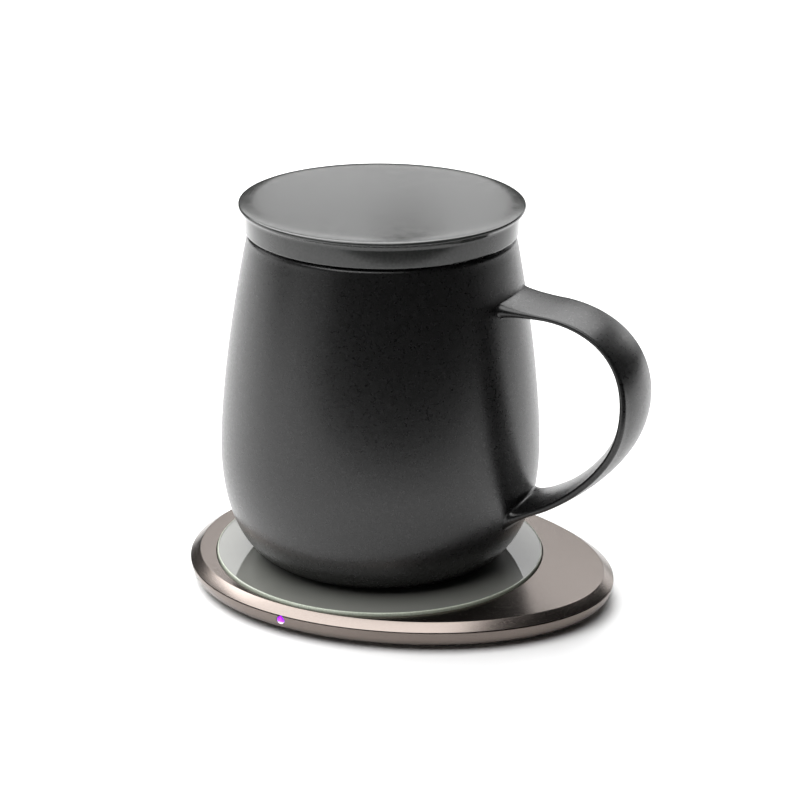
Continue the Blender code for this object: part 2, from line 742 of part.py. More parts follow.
def coil_route():
    """Inner lead, half a turn that climbs out from under the coil, the coil's turns, and the outer lead."""
    lead_end = TERMINAL_START - GAP
    route = lead_run(lead_end, 0, -LEAD_OFFSET)[:-1]
    swing = math.radians(270 - LEAVE_DEGREES) + math.tau * COIL_TURNS
    count = round(COIL_STEPS * swing / math.tau)
    for step in range(count + 1):
        angle = swing * step / count
        if angle < math.pi:
            share = blend(angle / math.pi)
            radius = LEAD_OFFSET + (COIL_START_RADIUS - LEAD_OFFSET) * share
            height = LEAD_HEIGHT + LEAD_DROP * share
        else:
            radius = COIL_START_RADIUS + COIL_PITCH * (angle - math.pi) / math.tau
            height = COIL_HEIGHT
        route.append(Vector((-radius * math.sin(angle), -radius * math.cos(angle), height)))
    start = route[-1].copy()
    leave = math.radians(LEAVE_DEGREES)
    first_pull = Vector((math.sin(leave), -math.cos(leave), 0)) * LEAVE_PULL
    last_pull = Vector((LEAVE_PULL, 0, 0))
    end = Vector((LEAVE_REACH, LEAD_OFFSET, LEAD_HEIGHT))
    for step in range(1, LEAVE_STEPS):
        t = step / LEAVE_STEPS
        point = start.lerp(end, blend(t)) + first_pull * t * (1 - t) ** 2 - last_pull * t * t * (1 - t)
        point.z = start.z + (end.z - start.z) * blend(max(0, 2 * t - 1))
        route.append(point)
    return route + lead_run(LEAVE_REACH, lead_end, LEAD_OFFSET)


def coil_outer_radius():
    turns = (math.radians(270 - LEAVE_DEGREES) - math.pi) / math.tau + COIL_TURNS
    return COIL_START_RADIUS + COIL_PITCH * turns + WIRE_RADIUS


def least_gap(route):
    """The least distance between two stretches of the wire that aren't neighbours, less its diameter."""
    fine = []
    for first, second in zip(route, route[1:]):
        fine += [first.lerp(second, step / GAP_STEPS) for step in range(GAP_STEPS)]
    points = np.array(fine)
    lengths = np.linalg.norm(np.diff(points, axis=0), axis=1)
    along = np.concatenate(([0], np.cumsum(lengths)))
    least = math.inf
    for index in range(len(points)):
        far = np.abs(along - along[index]) > WIRE_RADIUS * NEIGHBOUR_RADII
        if far.any():
            least = min(least, np.linalg.norm(points[far] - points[index], axis=1).min())
    return least - 2 * WIRE_RADIUS


def build_coil(finishes):
    route = coil_route()
    print(f"least gap of the coil to itself: {least_gap(route) * MILLIMETRES:.2f} mm")
    curve = bpy.data.curves.new("induction_coil", "CURVE")
    curve.dimensions = "3D"
    curve.resolution_u = 1
    curve.bevel_depth = WIRE_RADIUS
    curve.bevel_resolution = 1
    curve.use_fill_caps = True
    line = curve.splines.new("POLY")
    line.points.add(len(route) - 1)
    for point, place in zip(line.points, route):
        point.co = (*place, 1)
    link("induction_coil", curve, finishes["copper"])

    outer = coil_outer_radius() + FERRITE_MARGIN
    ferrite = washer(
        "ferrite_shield", FERRITE_INNER_RADIUS, outer, FERRITE_BOTTOM, FERRITE_TOP, finishes["ferrite"]
    )
    groove = (outer + OVERRUN, 2 * (WIRE_RADIUS + GAP), FERRITE_THICKNESS + OVERRUN)
    place = Matrix.Translation((groove[0] / 2, -LEAD_OFFSET, (FERRITE_BOTTOM + FERRITE_TOP) / 2))
    boolean(ferrite, block("ferrite_slot", groove, place, None))


def build_carrier(finishes):
    well_radius = FERRITE_INNER_RADIUS - GAP
    rim_top = MICA_BOTTOM - GAP
    profile = [
        (0, CARRIER_BOTTOM),
        (CARRIER_RADIUS, CARRIER_BOTTOM),
        (CARRIER_RADIUS, rim_top),
        (CARRIER_RADIUS - CARRIER_RIM, rim_top),
        (CARRIER_RADIUS - CARRIER_RIM, CARRIER_TOP),
        (well_radius, CARRIER_TOP),
        (well_radius, WELL_TOP),
        (0, WELL_TOP),
    ]
    carrier = turned("coil_carrier", profile, finishes["nylon"])
    depth = CARRIER_WELL + OVERRUN
    lead_groove = 2 * (WIRE_RADIUS + GAP)
    grooves = (("lead_groove", -LEAD_OFFSET, lead_groove), ("tail_groove", 0, TAIL_WIDTH + 2 * GAP))
    for name, offset, width in grooves:
        place = Matrix.Translation((CARRIER_NOTCH_START / 2, offset, WELL_TOP + depth / 2))
        boolean(carrier, block(name, (CARRIER_NOTCH_START + GAP, width, depth), place, None))
    length = CARRIER_RADIUS + OVERRUN - CARRIER_NOTCH_START
    height = rim_top - CARRIER_BOTTOM + 2 * OVERRUN
    place = Matrix.Translation((CARRIER_NOTCH_START + length / 2, 0, (rim_top + CARRIER_BOTTOM) / 2))
    boolean(carrier, block("carrier_notch", (length, CARRIER_NOTCH_WIDTH, height), place, None))


def build_sensor(finishes):
    top = GLASS_BOTTOM - GAP
    sensor_low = top - SENSOR_HEIGHT
    rod("temperature_sensor", SENSOR_RADIUS, sensor_low, top, finishes["ceramic"])
    cup_low = sensor_low - GAP
    foot = WELL_TOP + GAP
    profile = [
        (SLEEVE_BORE, foot),
        (SLEEVE_RADIUS, foot),
        (SLEEVE_RADIUS, cup_low + SLEEVE_CUP_DEPTH),
        (SENSOR_RADIUS + GAP, cup_low + SLEEVE_CUP_DEPTH),
        (SENSOR_RADIUS + GAP, cup_low),
        (SLEEVE_BORE, cup_low),
    ]
    sleeve = turned("sensor_sleeve", profile, finishes["silicone"], steps=SMALL_STEPS)
    slot_height = TAIL_THICKNESS + 2 * GAP
    place = Matrix.Translation((SLEEVE_RADIUS, 0, foot))
    slot = block("sleeve_slot", (2 * SLEEVE_RADIUS, TAIL_WIDTH + 2 * GAP, 2 * slot_height), place, None)
    boolean(sleeve, slot)

    low = foot + TAIL_THICKNESS / 2
    high = ON_BOARD + TAIL_THICKNESS / 2
    path = [
        Vector((0, 0, cup_low)),
        Vector((0, 0, low + TAIL_WIDTH)),
        Vector((TAIL_THICKNESS, 0, low + TAIL_THICKNESS)),
        Vector((TAIL_WIDTH, 0, low)),
        Vector((TAIL_CLIMB_START, 0, low)),
        Vector(((TAIL_CLIMB_START + TAIL_CLIMB_END) / 2, 0, (low + high) / 2)),
        Vector((TAIL_CLIMB_END, 0, high)),
        Vector((TAIL_END, 0, high)),
    ]
    ribbon("sensor_tail", path, Vector((0, 1, 0)), TAIL_WIDTH, TAIL_THICKNESS, finishes["flex"])


# Circuit board and inlet

def build_board(finishes):
    span = math.radians(BOARD_DEGREES)
    turns = [span * (2 * step / BOARD_STEPS - 1) for step in range(BOARD_STEPS + 1)]
    outer = [outline_point(turn, BOARD_INSET) for turn in turns]
    inner = [point.normalized() * BOARD_INNER_RADIUS for point in reversed(outer)]
    rings = [[(*point, height) for point in outer + inner] for height in (BOARD_BOTTOM, BOARD_TOP)]
    board = lofted("circuit_board", rings, finishes["board"])
    hole = BOARD_SCREW_RADIUS + GAP
    for number, place in enumerate(BOARD_SCREW_PLACES, 1):
        tool = rod(f"board_hole_{number}", hole, FLOOR_TOP, BOARD_TOP + OVERRUN, None, board_place(place))
        boolean(board, tool)
    boolean(board, inlet_hole("inlet_cutout"))


def seated(name, size, place, finish):
    """A block that stands on the circuit board."""
    block(name, size, board_place(place, ON_BOARD + size[2] / 2), finish, CHIP_EDGE)


def build_components(finishes):
    for number, side in enumerate((-1, 1), 1):
        length, _, height = TERMINAL_SIZE
        place = Matrix.Translation((TERMINAL_START + length / 2, side * LEAD_OFFSET, ON_BOARD + height / 2))
        block(f"coil_terminal_{number}", TERMINAL_SIZE, place, finishes["tin"], CHIP_EDGE)
    seated("controller_chip", CHIP_SIZE, CHIP_PLACE, finishes["epoxy"])
    seated("filter_inductor", INDUCTOR_SIZE, INDUCTOR_PLACE, finishes["ferrite"])
    groups = (
        ("power_switch", SWITCH_SIZE, SWITCH_PLACES, "epoxy"),
        ("tank_capacitor", TANK_SIZE, TANK_PLACES, "ceramic"),
        ("input_capacitor", INPUT_SIZE, INPUT_PLACES, "ceramic"),
    )
    for name, size, places, finish in groups:
        for number, place in enumerate(places, 1):
            seated(f"{name}_{number}", size, place, finishes[finish])


def inlet_ring(along, shrink):
    """A ring of the inlet's round-ended section, shrunk on all sides, at a place along its axis."""
    radius = INLET_THICKNESS / 2 - shrink
    straight = (INLET_WIDTH - INLET_THICKNESS) / 2
    steps = SMALL_STEPS // 2
    points = []
    for side in (1, -1):
        for step in range(steps + 1):
            angle = math.pi * (step / steps) - math.pi / 2
            across = side * (straight + radius * math.cos(angle))
            points.append(Vector((along, across, side * radius * math.sin(angle))))
    return points


def inlet_frame():
    return facing(math.radians(INLET_TURN_DEGREES), INLET_INSET, INLET_HEIGHT)


def inlet_hole(name):
    """The space that the inlet needs, running out through the side of the base."""
    tool = lofted(name, [inlet_ring(-INLET_DEPTH - GAP, -GAP), inlet_ring(OVERRUN, -GAP)], None)
    tool.matrix_world = inlet_frame()
    return tool


def build_inlet(finishes):
    rings = [
        inlet_ring(-INLET_DEPTH, 0),
        inlet_ring(0, 0),
        inlet_ring(0, INLET_WALL),
        inlet_ring(INLET_WALL - INLET_DEPTH, INLET_WALL),
    ]
    shell = lofted("usb_c_shell", rings, finishes["steel"])
    shell.matrix_world = inlet_frame()
    middle = INLET_WALL + GAP - INLET_DEPTH + TONGUE_SIZE[0] / 2
    block("usb_c_tongue", TONGUE_SIZE, inlet_frame() @ Matrix.Translation((middle, 0, 0)), finishes["epoxy"])


# Status light

def light_frame():
    return facing(math.radians(LIGHT_TURN_DEGREES), LENS_INSET, LIGHT_HEIGHT)


def lens_ring(along, radius, drop):
    points = []
    for step in range(SMALL_STEPS):
        angle = math.tau * step / SMALL_STEPS
        points.append(Vector((along, radius * math.cos(angle), radius * math.sin(angle) - drop)))
    return points


def build_light(finishes):
    stem_end = -LENS_HEAD - LENS_STEM
    rings = [
        lens_ring(0, LENS_RADIUS, 0),
        lens_ring(-LENS_HEAD, LENS_RADIUS, 0),
        lens_ring(-LENS_HEAD, LENS_STEM_RADIUS, LENS_STEM_DROP),
        lens_ring(stem_end, LENS_STEM_RADIUS, LENS_STEM_DROP),
    ]
    lens = lofted("indicator_lens", rings, finishes["violet"])
    lens.matrix_world = light_frame()
    depth = LED_SIZE[0]
    board_depth, _, board_height = LED_BOARD_SIZE
    led = Matrix.Translation((stem_end - GAP - depth / 2, 0, -LENS_STEM_DROP))
    block("indicator_led", LED_SIZE, light_frame() @ led, finishes["led"])
    lift = FLOOR_TOP + GAP + board_height / 2 - LIGHT_HEIGHT
    board = Matrix.Translation((stem_end - 2 * GAP - depth - board_depth / 2, 0, lift))
    block("indicator_board", LED_BOARD_SIZE, light_frame() @ board, finishes["board"])

    height = ON_BOARD + LIGHT_TAIL_HEIGHT / 2
    start = LIGHT_TAIL_START_DEGREES
    sweep = LIGHT_TAIL_TURN_DEGREES - start
    path = []
    for step in range(LIGHT_TAIL_STEPS):
        frame = polar(start + sweep * step / LIGHT_TAIL_STEPS, LIGHT_TAIL_RADIUS, height)
        path.append(frame.translation.copy())
    for share in (0.25, 1.0):
        radius = LIGHT_TAIL_RADIUS + (LIGHT_TAIL_END - LIGHT_TAIL_RADIUS) * share
        path.append(polar(LIGHT_TAIL_TURN_DEGREES, radius, height).translation.copy())
    upright = Vector((0, 0, 1))
    ribbon("indicator_tail", path, upright, LIGHT_TAIL_HEIGHT, TAIL_THICKNESS, finishes["flex"])


def build_finishes():
    return {
        "glaze": material("black glaze", (0.022, 0.022, 0.024), 0.38),
        "lid glaze": material("grey glaze", (0.045, 0.047, 0.05), 0.12),
        "silver": material("fired silver", (0.62, 0.6, 0.56), 0.45, 1.0),
        "anodised": material("champagne anodising", (0.42, 0.36, 0.32), 0.34, 1.0),
        "lower shell": material("champagne paint", (0.3, 0.24, 0.21), 0.42, 0.8),
        "glass": material("dark glass", (0.02, 0.024, 0.022), 0.04),
        "silicone": material("grey silicone", (0.12, 0.12, 0.12), 0.75),
        "adhesive": material("adhesive", (0.05, 0.05, 0.05), 0.6),
        "mica": material("mica", (0.5, 0.42, 0.26), 0.5),
        "copper": material("lacquered copper", (0.6, 0.25, 0.1), 0.35, 1.0),
        "ferrite": material("ferrite", (0.06, 0.06, 0.065), 0.55),
        "nylon": material("black nylon", (0.03, 0.03, 0.03), 0.55),
        "ceramic": material("capacitor ceramic", (0.45, 0.33, 0.2), 0.5),
        "flex": material("flat cable", (0.5, 0.27, 0.05), 0.4),
        "board": material("circuit board", (0.02, 0.11, 0.05), 0.45),
        "epoxy": material("black epoxy", (0.02, 0.02, 0.02), 0.5),
        "tin": material("tinned brass", (0.65, 0.65, 0.62), 0.3, 1.0),
        "steel": material("nickelled steel", (0.6, 0.6, 0.6), 0.28, 1.0),
        "violet": material("violet lens", (0.16, 0.02, 0.75), 0.2),
        "led": material("light chip", (0.85, 0.8, 0.6), 0.4),
    }


def main():
    clear_scene()
    finishes = build_finishes()
    mug = empty("mug_axis", MUG_FOOT)
    lid = empty("lid_axis", LID_FOOT, mug)
    build_mug(finishes, mug)
    build_lid(finishes, lid)
    build_upper_housing(finishes)
    build_lower_housing(finishes)
    build_foot_mat(finishes)
    build_screws(finishes)
    build_glass(finishes)
    build_coil(finishes)
    build_carrier(finishes)
    build_sensor(finishes)
    build_board(finishes)
    build_components(finishes)
    build_inlet(finishes)
    build_light(finishes)
    bpy.context.view_layer.update()


main()
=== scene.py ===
"""Looks of the self heating mug: glazed mug, handle and lid on an anodised warming base with a glass plate.

Units are metres, +Z is up, and +X runs along the handle, as in the frame.
"""

import math

import bmesh
import bpy
from mathutils import Matrix, Vector


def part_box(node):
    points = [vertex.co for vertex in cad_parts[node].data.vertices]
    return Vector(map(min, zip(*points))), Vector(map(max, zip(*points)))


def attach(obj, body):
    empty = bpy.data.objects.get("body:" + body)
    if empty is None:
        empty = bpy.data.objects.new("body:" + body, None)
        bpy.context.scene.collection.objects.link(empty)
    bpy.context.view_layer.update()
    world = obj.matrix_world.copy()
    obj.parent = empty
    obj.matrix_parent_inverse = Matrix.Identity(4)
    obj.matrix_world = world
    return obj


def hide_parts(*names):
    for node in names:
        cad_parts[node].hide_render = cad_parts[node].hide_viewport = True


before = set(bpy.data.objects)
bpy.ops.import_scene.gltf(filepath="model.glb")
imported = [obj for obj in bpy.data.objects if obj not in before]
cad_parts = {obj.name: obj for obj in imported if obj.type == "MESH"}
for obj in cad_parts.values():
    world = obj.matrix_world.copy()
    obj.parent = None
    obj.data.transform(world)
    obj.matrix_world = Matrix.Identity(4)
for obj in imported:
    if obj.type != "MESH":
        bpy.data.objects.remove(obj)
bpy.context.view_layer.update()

# The photograph's camera: its place about the mug's axis, its aim and its focal length in pixels
PICTURE_WIDTH = 800
FOCAL_PIXELS = 2694.0
CAMERA_DISTANCE = 0.7024
CAMERA_HEIGHT = 0.3143
CAMERA_TURN = math.radians(23.26)
CAMERA_YAW = 0.0076
CAMERA_PITCH = 0.3563
CAMERA_ROLL = 0.00946
CAMERA_ROTATION = Matrix.Rotation(CAMERA_TURN, 3, "Z")
CAMERA_CLIP = 0.01
SENSOR_WIDTH = 36.0

# Sizes that the frame gives
MUG_LOW, MUG_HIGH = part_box("mug_body")
LID_LOW, LID_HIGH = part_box("lid")
GLASS_LOW, GLASS_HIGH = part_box("glass_plate")
UPPER_LOW, UPPER_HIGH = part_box("upper_housing")
LOWER_LOW, LOWER_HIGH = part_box("lower_housing")
MAT_LOW, MAT_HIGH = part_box("foot_mat")
GAP = 0.0003

# Mug
MUG_FOOT = MUG_LOW[2]
MUG_HEIGHT = MUG_HIGH[2] - MUG_LOW[2]
MUG_RADIUS = MUG_HIGH[0]
MUG_RIM_RADIUS = 0.0365
MUG_BELLY_HEIGHT = 0.031
MUG_TUCK = 0.0019
MUG_WALL = 0.0036
MUG_FLOOR = 0.0052
MUG_RIM_ROUND = 0.0016
MUG_FOOT_WIDTH = 0.0034
MUG_FOOT_EDGE = 0.0005
MUG_RECESS = 0.0013
SHOULDER_POWER = 1.58
TUCK_POWER = 1 / 3
FLOOR_POWER = 1 / 2

# Handle
HANDLE_REACH = 0.07398
HANDLE_LOW = 0.0199
HANDLE_RISE = 0.0584
HANDLE_WIDTH = 0.0187
HANDLE_WIDEN = 0.0054
HANDLE_THICKNESS = 0.0014
HANDLE_THICKEN = 0.0007
HANDLE_CROWN = 0.0003
HANDLE_CROWN_SWELL = 0.0013
HANDLE_EDGE_SHARE = 0.46
HANDLE_SWELL_SHARE = 0.67
HANDLE_PULL_SHARES = (
    (0.514, 0.955),
    (0.585, 1.021),
    (1.454, 1.12),
    (0.679, 0.12),
    (1.205, 0.863),
    (0.983, 0.105),
    (0.56, -0.015),
)
HANDLE_STEPS = 120
CORNER_STEPS = 6
CROWN_STEPS = 10
UPPER_FILLET_REACH = 0.0115
UPPER_FILLET_FLARE = 0.0015
LOWER_FILLET_REACH = 0.004
LOWER_FILLET_FLARE = 0.0018
FILLET_EASE = 0.2
FILLET_SEARCHES = 24
FILLET_SINK = 0.0004
FILLET_STEPS = 14

# Lid
LID_FOOT = MUG_HIGH[2] + GAP
LID_HEIGHT = LID_HIGH[2] - LID_FOOT
LID_SPIGOT_DEPTH = LID_FOOT - LID_LOW[2]
LID_RIM_RADIUS = LID_HIGH[0]
LID_RIM_BAND = 0.0011
LID_SKIRT_RADIUS = 0.0374
LID_SKIRT_HEIGHT = 0.0048
LID_EDGE = 0.0005
LID_SHOULDER_WIDTH = 0.003
LID_SHOULDER_DROP = 0.00025
LID_PLATE = 0.0039
LID_FIT = 0.0006
LID_SPIGOT_WALL = 0.003

# Base
BASE_LENGTH = UPPER_HIGH[0] - UPPER_LOW[0]
BASE_SHIFT = (UPPER_HIGH[0] + UPPER_LOW[0]) / 2
BASE_WIDTH = 0.0988
BASE_EGG_SHARE = 0.195
UNDERSIDE_HEIGHT = LOWER_LOW[2]
LOWER_TOP = LOWER_HIGH[2]
PARTING_HEIGHT = LOWER_TOP + GAP
HOUSING_HEIGHT = UPPER_HIGH[2]
CHAMFER_WIDTH = 0.0028
CURVE_WIDTH = 0.0034
CURVE_DROP = PARTING_HEIGHT - UNDERSIDE_HEIGHT
HOUSING_WALL = 0.0015
HOUSING_FLOOR = 0.0012
UPPER_RIM_WIDTH = 0.0018
UPPER_PLATE = 0.0015
CRISP_EDGE = 0.00012
SOFT_EDGE = 0.0003
MAT_INSET = 0.0055
GLASS_RADIUS = GLASS_HIGH[0]
GLASS_BOTTOM = GLASS_LOW[2]
GLASS_TOP = GLASS_HIGH[2]
GLASS_EDGE = 0.0003
# How far in from the glass's edge the painted rim highlight reaches, as a share of its rounding
GLASS_RIM_HIGHLIGHT_SHARE = 0.9
SEAT_DROP = 0.001
SEAT_THICKNESS = 0.0012
SEAT_WIDTH = 0.0041
CUP_CLEARANCE = 0.0011
RECESS_RADIUS = GLASS_RADIUS + GAP
SEAT_TOP = GLASS_BOTTOM - SEAT_DROP
SEAT_BOTTOM = SEAT_TOP - SEAT_THICKNESS
WINDOW_RADIUS = RECESS_RADIUS - SEAT_WIDTH
CUP_RADIUS = RECESS_RADIUS + CUP_CLEARANCE

# Status light and inlet
LIGHT_TURN = math.radians(-104.2)
LIGHT_HEIGHT = 0.0048
LENS_RADIUS = 0.0011
LENS_INSET = 0.0001
LENS_HEAD = 0.0014
LENS_STEM = 0.003
LENS_STEM_RADIUS = 0.00055
LENS_STEM_DROP = 0.0004
LENS_DOME = 0.0002
INLET_TURN = math.radians(40)
INLET_HEIGHT = 0.0043
INLET_WIDTH = 0.00894
INLET_THICKNESS = 0.00326
INLET_DEPTH = 0.00735
INLET_WALL = 0.0003
INLET_INSET = 0.0009
CASE_SCREW_RING = 0.0448
CASE_SCREW_DEGREES = (35, 145, 215, 325)
CASE_SINK_RADIUS = 0.0021
OVERRUN = 0.002

# The sheet that the object stands on, which ends just in front of what the camera sees
FLOOR_HALF = 4.0
FLOOR_FRONT = 0.25
FLOOR_SLANT = 0.25
FLOOR_TONES = (0.94, 0.95)
FLOOR_ROUGHNESS = 0.5

# Soft light panels: name, place (right of, beyond and above the mug, seen from the camera), size, watts, aim
LIGHT_PANELS = (
    ("overhead", (-0.32, 0.0, 1.05), (2.0, 1.2), 33, (0, 0, 0)),
    ("back_overhead", (-0.1, 0.9, 1.0), (2.0, 0.7), 15, (0, 0.3, 0)),
    ("low_backdrop", (0, 1.25, 0.41), (0.22, 0.15), 0.16, (0, 0, 0.1)),
    ("left_backdrop", (-0.24, 1.25, 0.65), (0.5, 0.2), 0.7, (0, 0, 0)),
    ("right_backdrop", (0.28, 1.25, 0.65), (0.5, 0.22), 0.72, (0, 0, 0)),
    ("left_softbox", (-0.8, 0.3, 0.28), (0.5, 0.4), 1.0, (0, 0, 0.05)),
    ("right_softbox", (0.6, 0.9, 0.25), (0.4, 0.3), 0.8, (0, 0, 0.05)),
    ("left_fill", (-0.75, -0.45, 0.1), (0.6, 0.2), 0.25, (0, 0, 0.02)),
)
SKY_STRENGTH = 0.015

# Dark and pale colour of each housing's metal; the tray's tones are darker than the shell's as painted shade
# for its curve under
SHELL_TONES = ((0.18, 0.153, 0.138), (0.215, 0.185, 0.168))
SHADED_TRAY_TONES = ((0.165, 0.138, 0.122), (0.205, 0.174, 0.156))

# How much coarser a surface's slow drift is than its grain
DRIFT_RATIO = 40

# Fineness
ROUND_STEPS = 160
OUTLINE_STEPS = 240
ROUNDING_STEPS = 3
BELLY_STEPS = 36
SHOULDER_STEPS = 40
RIM_STEPS = 16
BOWL_STEPS = 25
LID_FLARE_STEPS = 12
TRAY_STEPS = 18
TRAY_INNER_STEPS = 6
ROD_STEPS = 32
LENS_STEPS = 40
LENS_DOME_STEPS = 4
INLET_STEPS = 16
SHARP_ANGLE = math.radians(40)
TIP_RADIUS = 1e-7


# Materials

def node(tree, kind, inputs=None, **settings):
    """Add a node; each input takes a value or a link from another node's socket."""
    made = tree.nodes.new(kind)
    for key, value in settings.items():
        setattr(made, key, value)
    for key, value in (inputs or {}).items():
        if isinstance(value, bpy.types.NodeSocket):
            tree.links.new(value, made.inputs[key])
        else:
            made.inputs[key].default_value = value
    return made


def rgba(colour):
    return (*colour, 1.0)


def start_material(name):
    """A new material with its tree, its shader and the place on the object that its patterns follow."""
    made = bpy.data.materials.new(name)
    made.use_nodes = True
    tree = made.node_tree
    shader = tree.nodes["Principled BSDF"]
    coordinates = node(tree, "ShaderNodeTexCoord")
    return made, tree, shader, coordinates.outputs["Object"]


def noise(tree, place, scale, detail=2.0, roughness=0.5):
    inputs = {"Vector": place, "Scale": scale, "Detail": detail, "Roughness": roughness}
    made = node(tree, "ShaderNodeTexNoise", inputs)
    return made.outputs["Fac"]


def spread(tree, value, low, high, from_low=0.3, from_high=0.7):
    """Spread the middle of a noise over a range."""
    made = node(tree, "ShaderNodeMapRange", {
        "Value": value, "From Min": from_low, "From Max": from_high, "To Min": low, "To Max": high,
    })
    return made.outputs["Result"]


def mixed(tree, share, first, second):
    """Mix two colours; each may be a value or another node's socket."""
    made = node(tree, "ShaderNodeMix", data_type="RGBA")
    for socket, value in zip((made.inputs[0], made.inputs[6], made.inputs[7]), (share, first, second)):
        if isinstance(value, bpy.types.NodeSocket):
            tree.links.new(value, socket)
        else:
            socket.default_value = value
    return made.outputs[2]


def bump(tree, height, distance, strength=1.0, normal=None):
    inputs = {"Height": height, "Distance": distance, "Strength": strength}
    if normal is not None:
        inputs["Normal"] = normal
    return node(tree, "ShaderNodeBump", inputs).outputs["Normal"]


def grained(name, dark, pale, scale, rough, metallic=0.0, relief=0.0, detail=3.0):
    """A surface whose colour and gloss vary with one fine grain, under a slow drift."""
    made, tree, shader, place = start_material(name)
    grain = noise(tree, place, scale, detail)
    drift = noise(tree, place, scale / DRIFT_RATIO, detail=1.0)
    colour = mixed(tree, spread(tree, grain, 0, 1), rgba(dark), rgba(pale))
    tree.links.new(colour, shader.inputs["Base Color"])
    tree.links.new(spread(tree, drift, *rough), shader.inputs["Roughness"])
    shader.inputs["Metallic"].default_value = metallic
    if relief:
        tree.links.new(bump(tree, grain, relief), shader.inputs["Normal"])
    return made


def mug_glaze():
    """Satin black glaze with a fine pale speck and a slight orange peel."""
    made, tree, shader, place = start_material("satin_black_glaze")
    grain = noise(tree, place, scale=3000, detail=1.0)
    dots = noise(tree, place, scale=3600, detail=1.0)
    specks = spread(tree, dots, 0, 1, from_low=0.45, from_high=0.75)
    dark, pale = rgba((0.001, 0.001, 0.001)), rgba((0.0025, 0.0025, 0.0025))
    speck = rgba((0.016, 0.016, 0.0165))
    base = mixed(tree, spread(tree, grain, 0, 1), dark, pale)
    tree.links.new(mixed(tree, specks, base, speck), shader.inputs["Base Color"])
    gloss = spread(tree, noise(tree, place, scale=1300), low=0.26, high=0.34)
    tree.links.new(gloss, shader.inputs["Roughness"])
    shader.inputs["IOR"].default_value = 1.52
    fine = bump(tree, grain, distance=1e-5)
    waves = noise(tree, place, scale=260, detail=1.0)
    peel = bump(tree, waves, distance=2e-5, normal=fine)
    tree.links.new(peel, shader.inputs["Normal"])
    return made


def lid_glaze():
    """The same glaze fired glossier, a little paler, with faint turning rings."""
    made, tree, shader, place = start_material("glossy_grey_glaze")
    grain = noise(tree, place, scale=1400)
    dark, pale = rgba((0.022, 0.023, 0.022)), rgba((0.032, 0.033, 0.032))
    tree.links.new(mixed(tree, spread(tree, grain, 0, 1), dark, pale), shader.inputs["Base Color"])
    gloss = spread(tree, noise(tree, place, scale=300), low=0.14, high=0.18)
    tree.links.new(gloss, shader.inputs["Roughness"])
    wave = node(
        tree, "ShaderNodeTexWave", {"Vector": place, "Scale": 55.0, "Distortion": 1.5, "Detail": 1.0},
        wave_type="RINGS", rings_direction="Z",
    )
    rings = bump(tree, wave.outputs["Fac"], distance=8e-7)
    waves = noise(tree, place, scale=420, detail=1.0)
    peel = bump(tree, waves, distance=2e-6, normal=rings)
    tree.links.new(peel, shader.inputs["Normal"])
    return made


def anodised(name, dark, pale, rough):
    """Bead-blasted anodised aluminium: a fine metallic grain."""
    made, tree, shader, place = start_material(name)
    grain = noise(tree, place, scale=5200, roughness=0.7)
    share = spread(tree, grain, 0, 1, from_low=0.35, from_high=0.65)
    tree.links.new(mixed(tree, share, rgba(dark), rgba(pale)), shader.inputs["Base Color"])
    shader.inputs["Metallic"].default_value = 1.0
    tree.links.new(spread(tree, grain, *rough), shader.inputs["Roughness"])
    tree.links.new(bump(tree, grain, distance=4e-6), shader.inputs["Normal"])
    return made


def plate_glass():
    """Clear glass over a grey-green coat: a polished sheet on a softly mottled ground."""
    made, tree, shader, place = start_material("coated_glass")
    drift = noise(tree, place, scale=60)
    dark, pale = rgba((0.17, 0.173, 0.158)), rgba((0.19, 0.193, 0.177))
    tree.links.new(mixed(tree, spread(tree, drift, 0, 1), dark, pale), shader.inputs["Base Color"])
    gloss = spread(tree, noise(tree, place, scale=900, detail=1.0), low=0.035, high=0.055)
    tree.links.new(gloss, shader.inputs["Roughness"])
    shader.inputs["IOR"].default_value = 1.62
    return made


def painted_rim_highlight():
    """The ground and polished rim of the glass, painted pale green and bright as a painted highlight for the
    light its edge gathers.
    """
    made, tree, shader, place = start_material("painted_glass_rim_light")
    grain = noise(tree, place, scale=2500, detail=1.0)
    dark, pale = rgba((0.42, 0.46, 0.38)), rgba((0.52, 0.56, 0.47))
    tree.links.new(mixed(tree, spread(tree, grain, 0, 1), dark, pale), shader.inputs["Base Color"])
    tree.links.new(spread(tree, grain, low=0.15, high=0.25), shader.inputs["Roughness"])
    return made


def lit_lens():
    """A clear light pipe with violet light behind it, and a painted white glint towards its lower side."""
    made, tree, shader, place = start_material("violet_light")
    grain = noise(tree, place, scale=1800, detail=1.0)
    generated = node(tree, "ShaderNodeTexCoord").outputs["Generated"]
    height = node(tree, "ShaderNodeSeparateXYZ", {"Vector": generated}).outputs["Z"]
    # The white share, rising towards the lens's lower side, is a painted glint.
    share = spread(tree, height, 1, 0, from_low=0.12, from_high=0.4)
    blue, purple, glint_white = rgba((0.28, 0.0, 0.95)), rgba((0.42, 0.03, 1.0)), rgba((0.95, 0.85, 1.0))
    violet = mixed(tree, spread(tree, grain, 0, 1), blue, purple)
    colour = mixed(tree, share, violet, glint_white)
    tree.links.new(colour, shader.inputs["Base Color"])
    tree.links.new(colour, shader.inputs["Emission Color"])
    shader.inputs["Emission Strength"].default_value = 0.8
    tree.links.new(spread(tree, grain, low=0.08, high=0.14), shader.inputs["Roughness"])
    return made


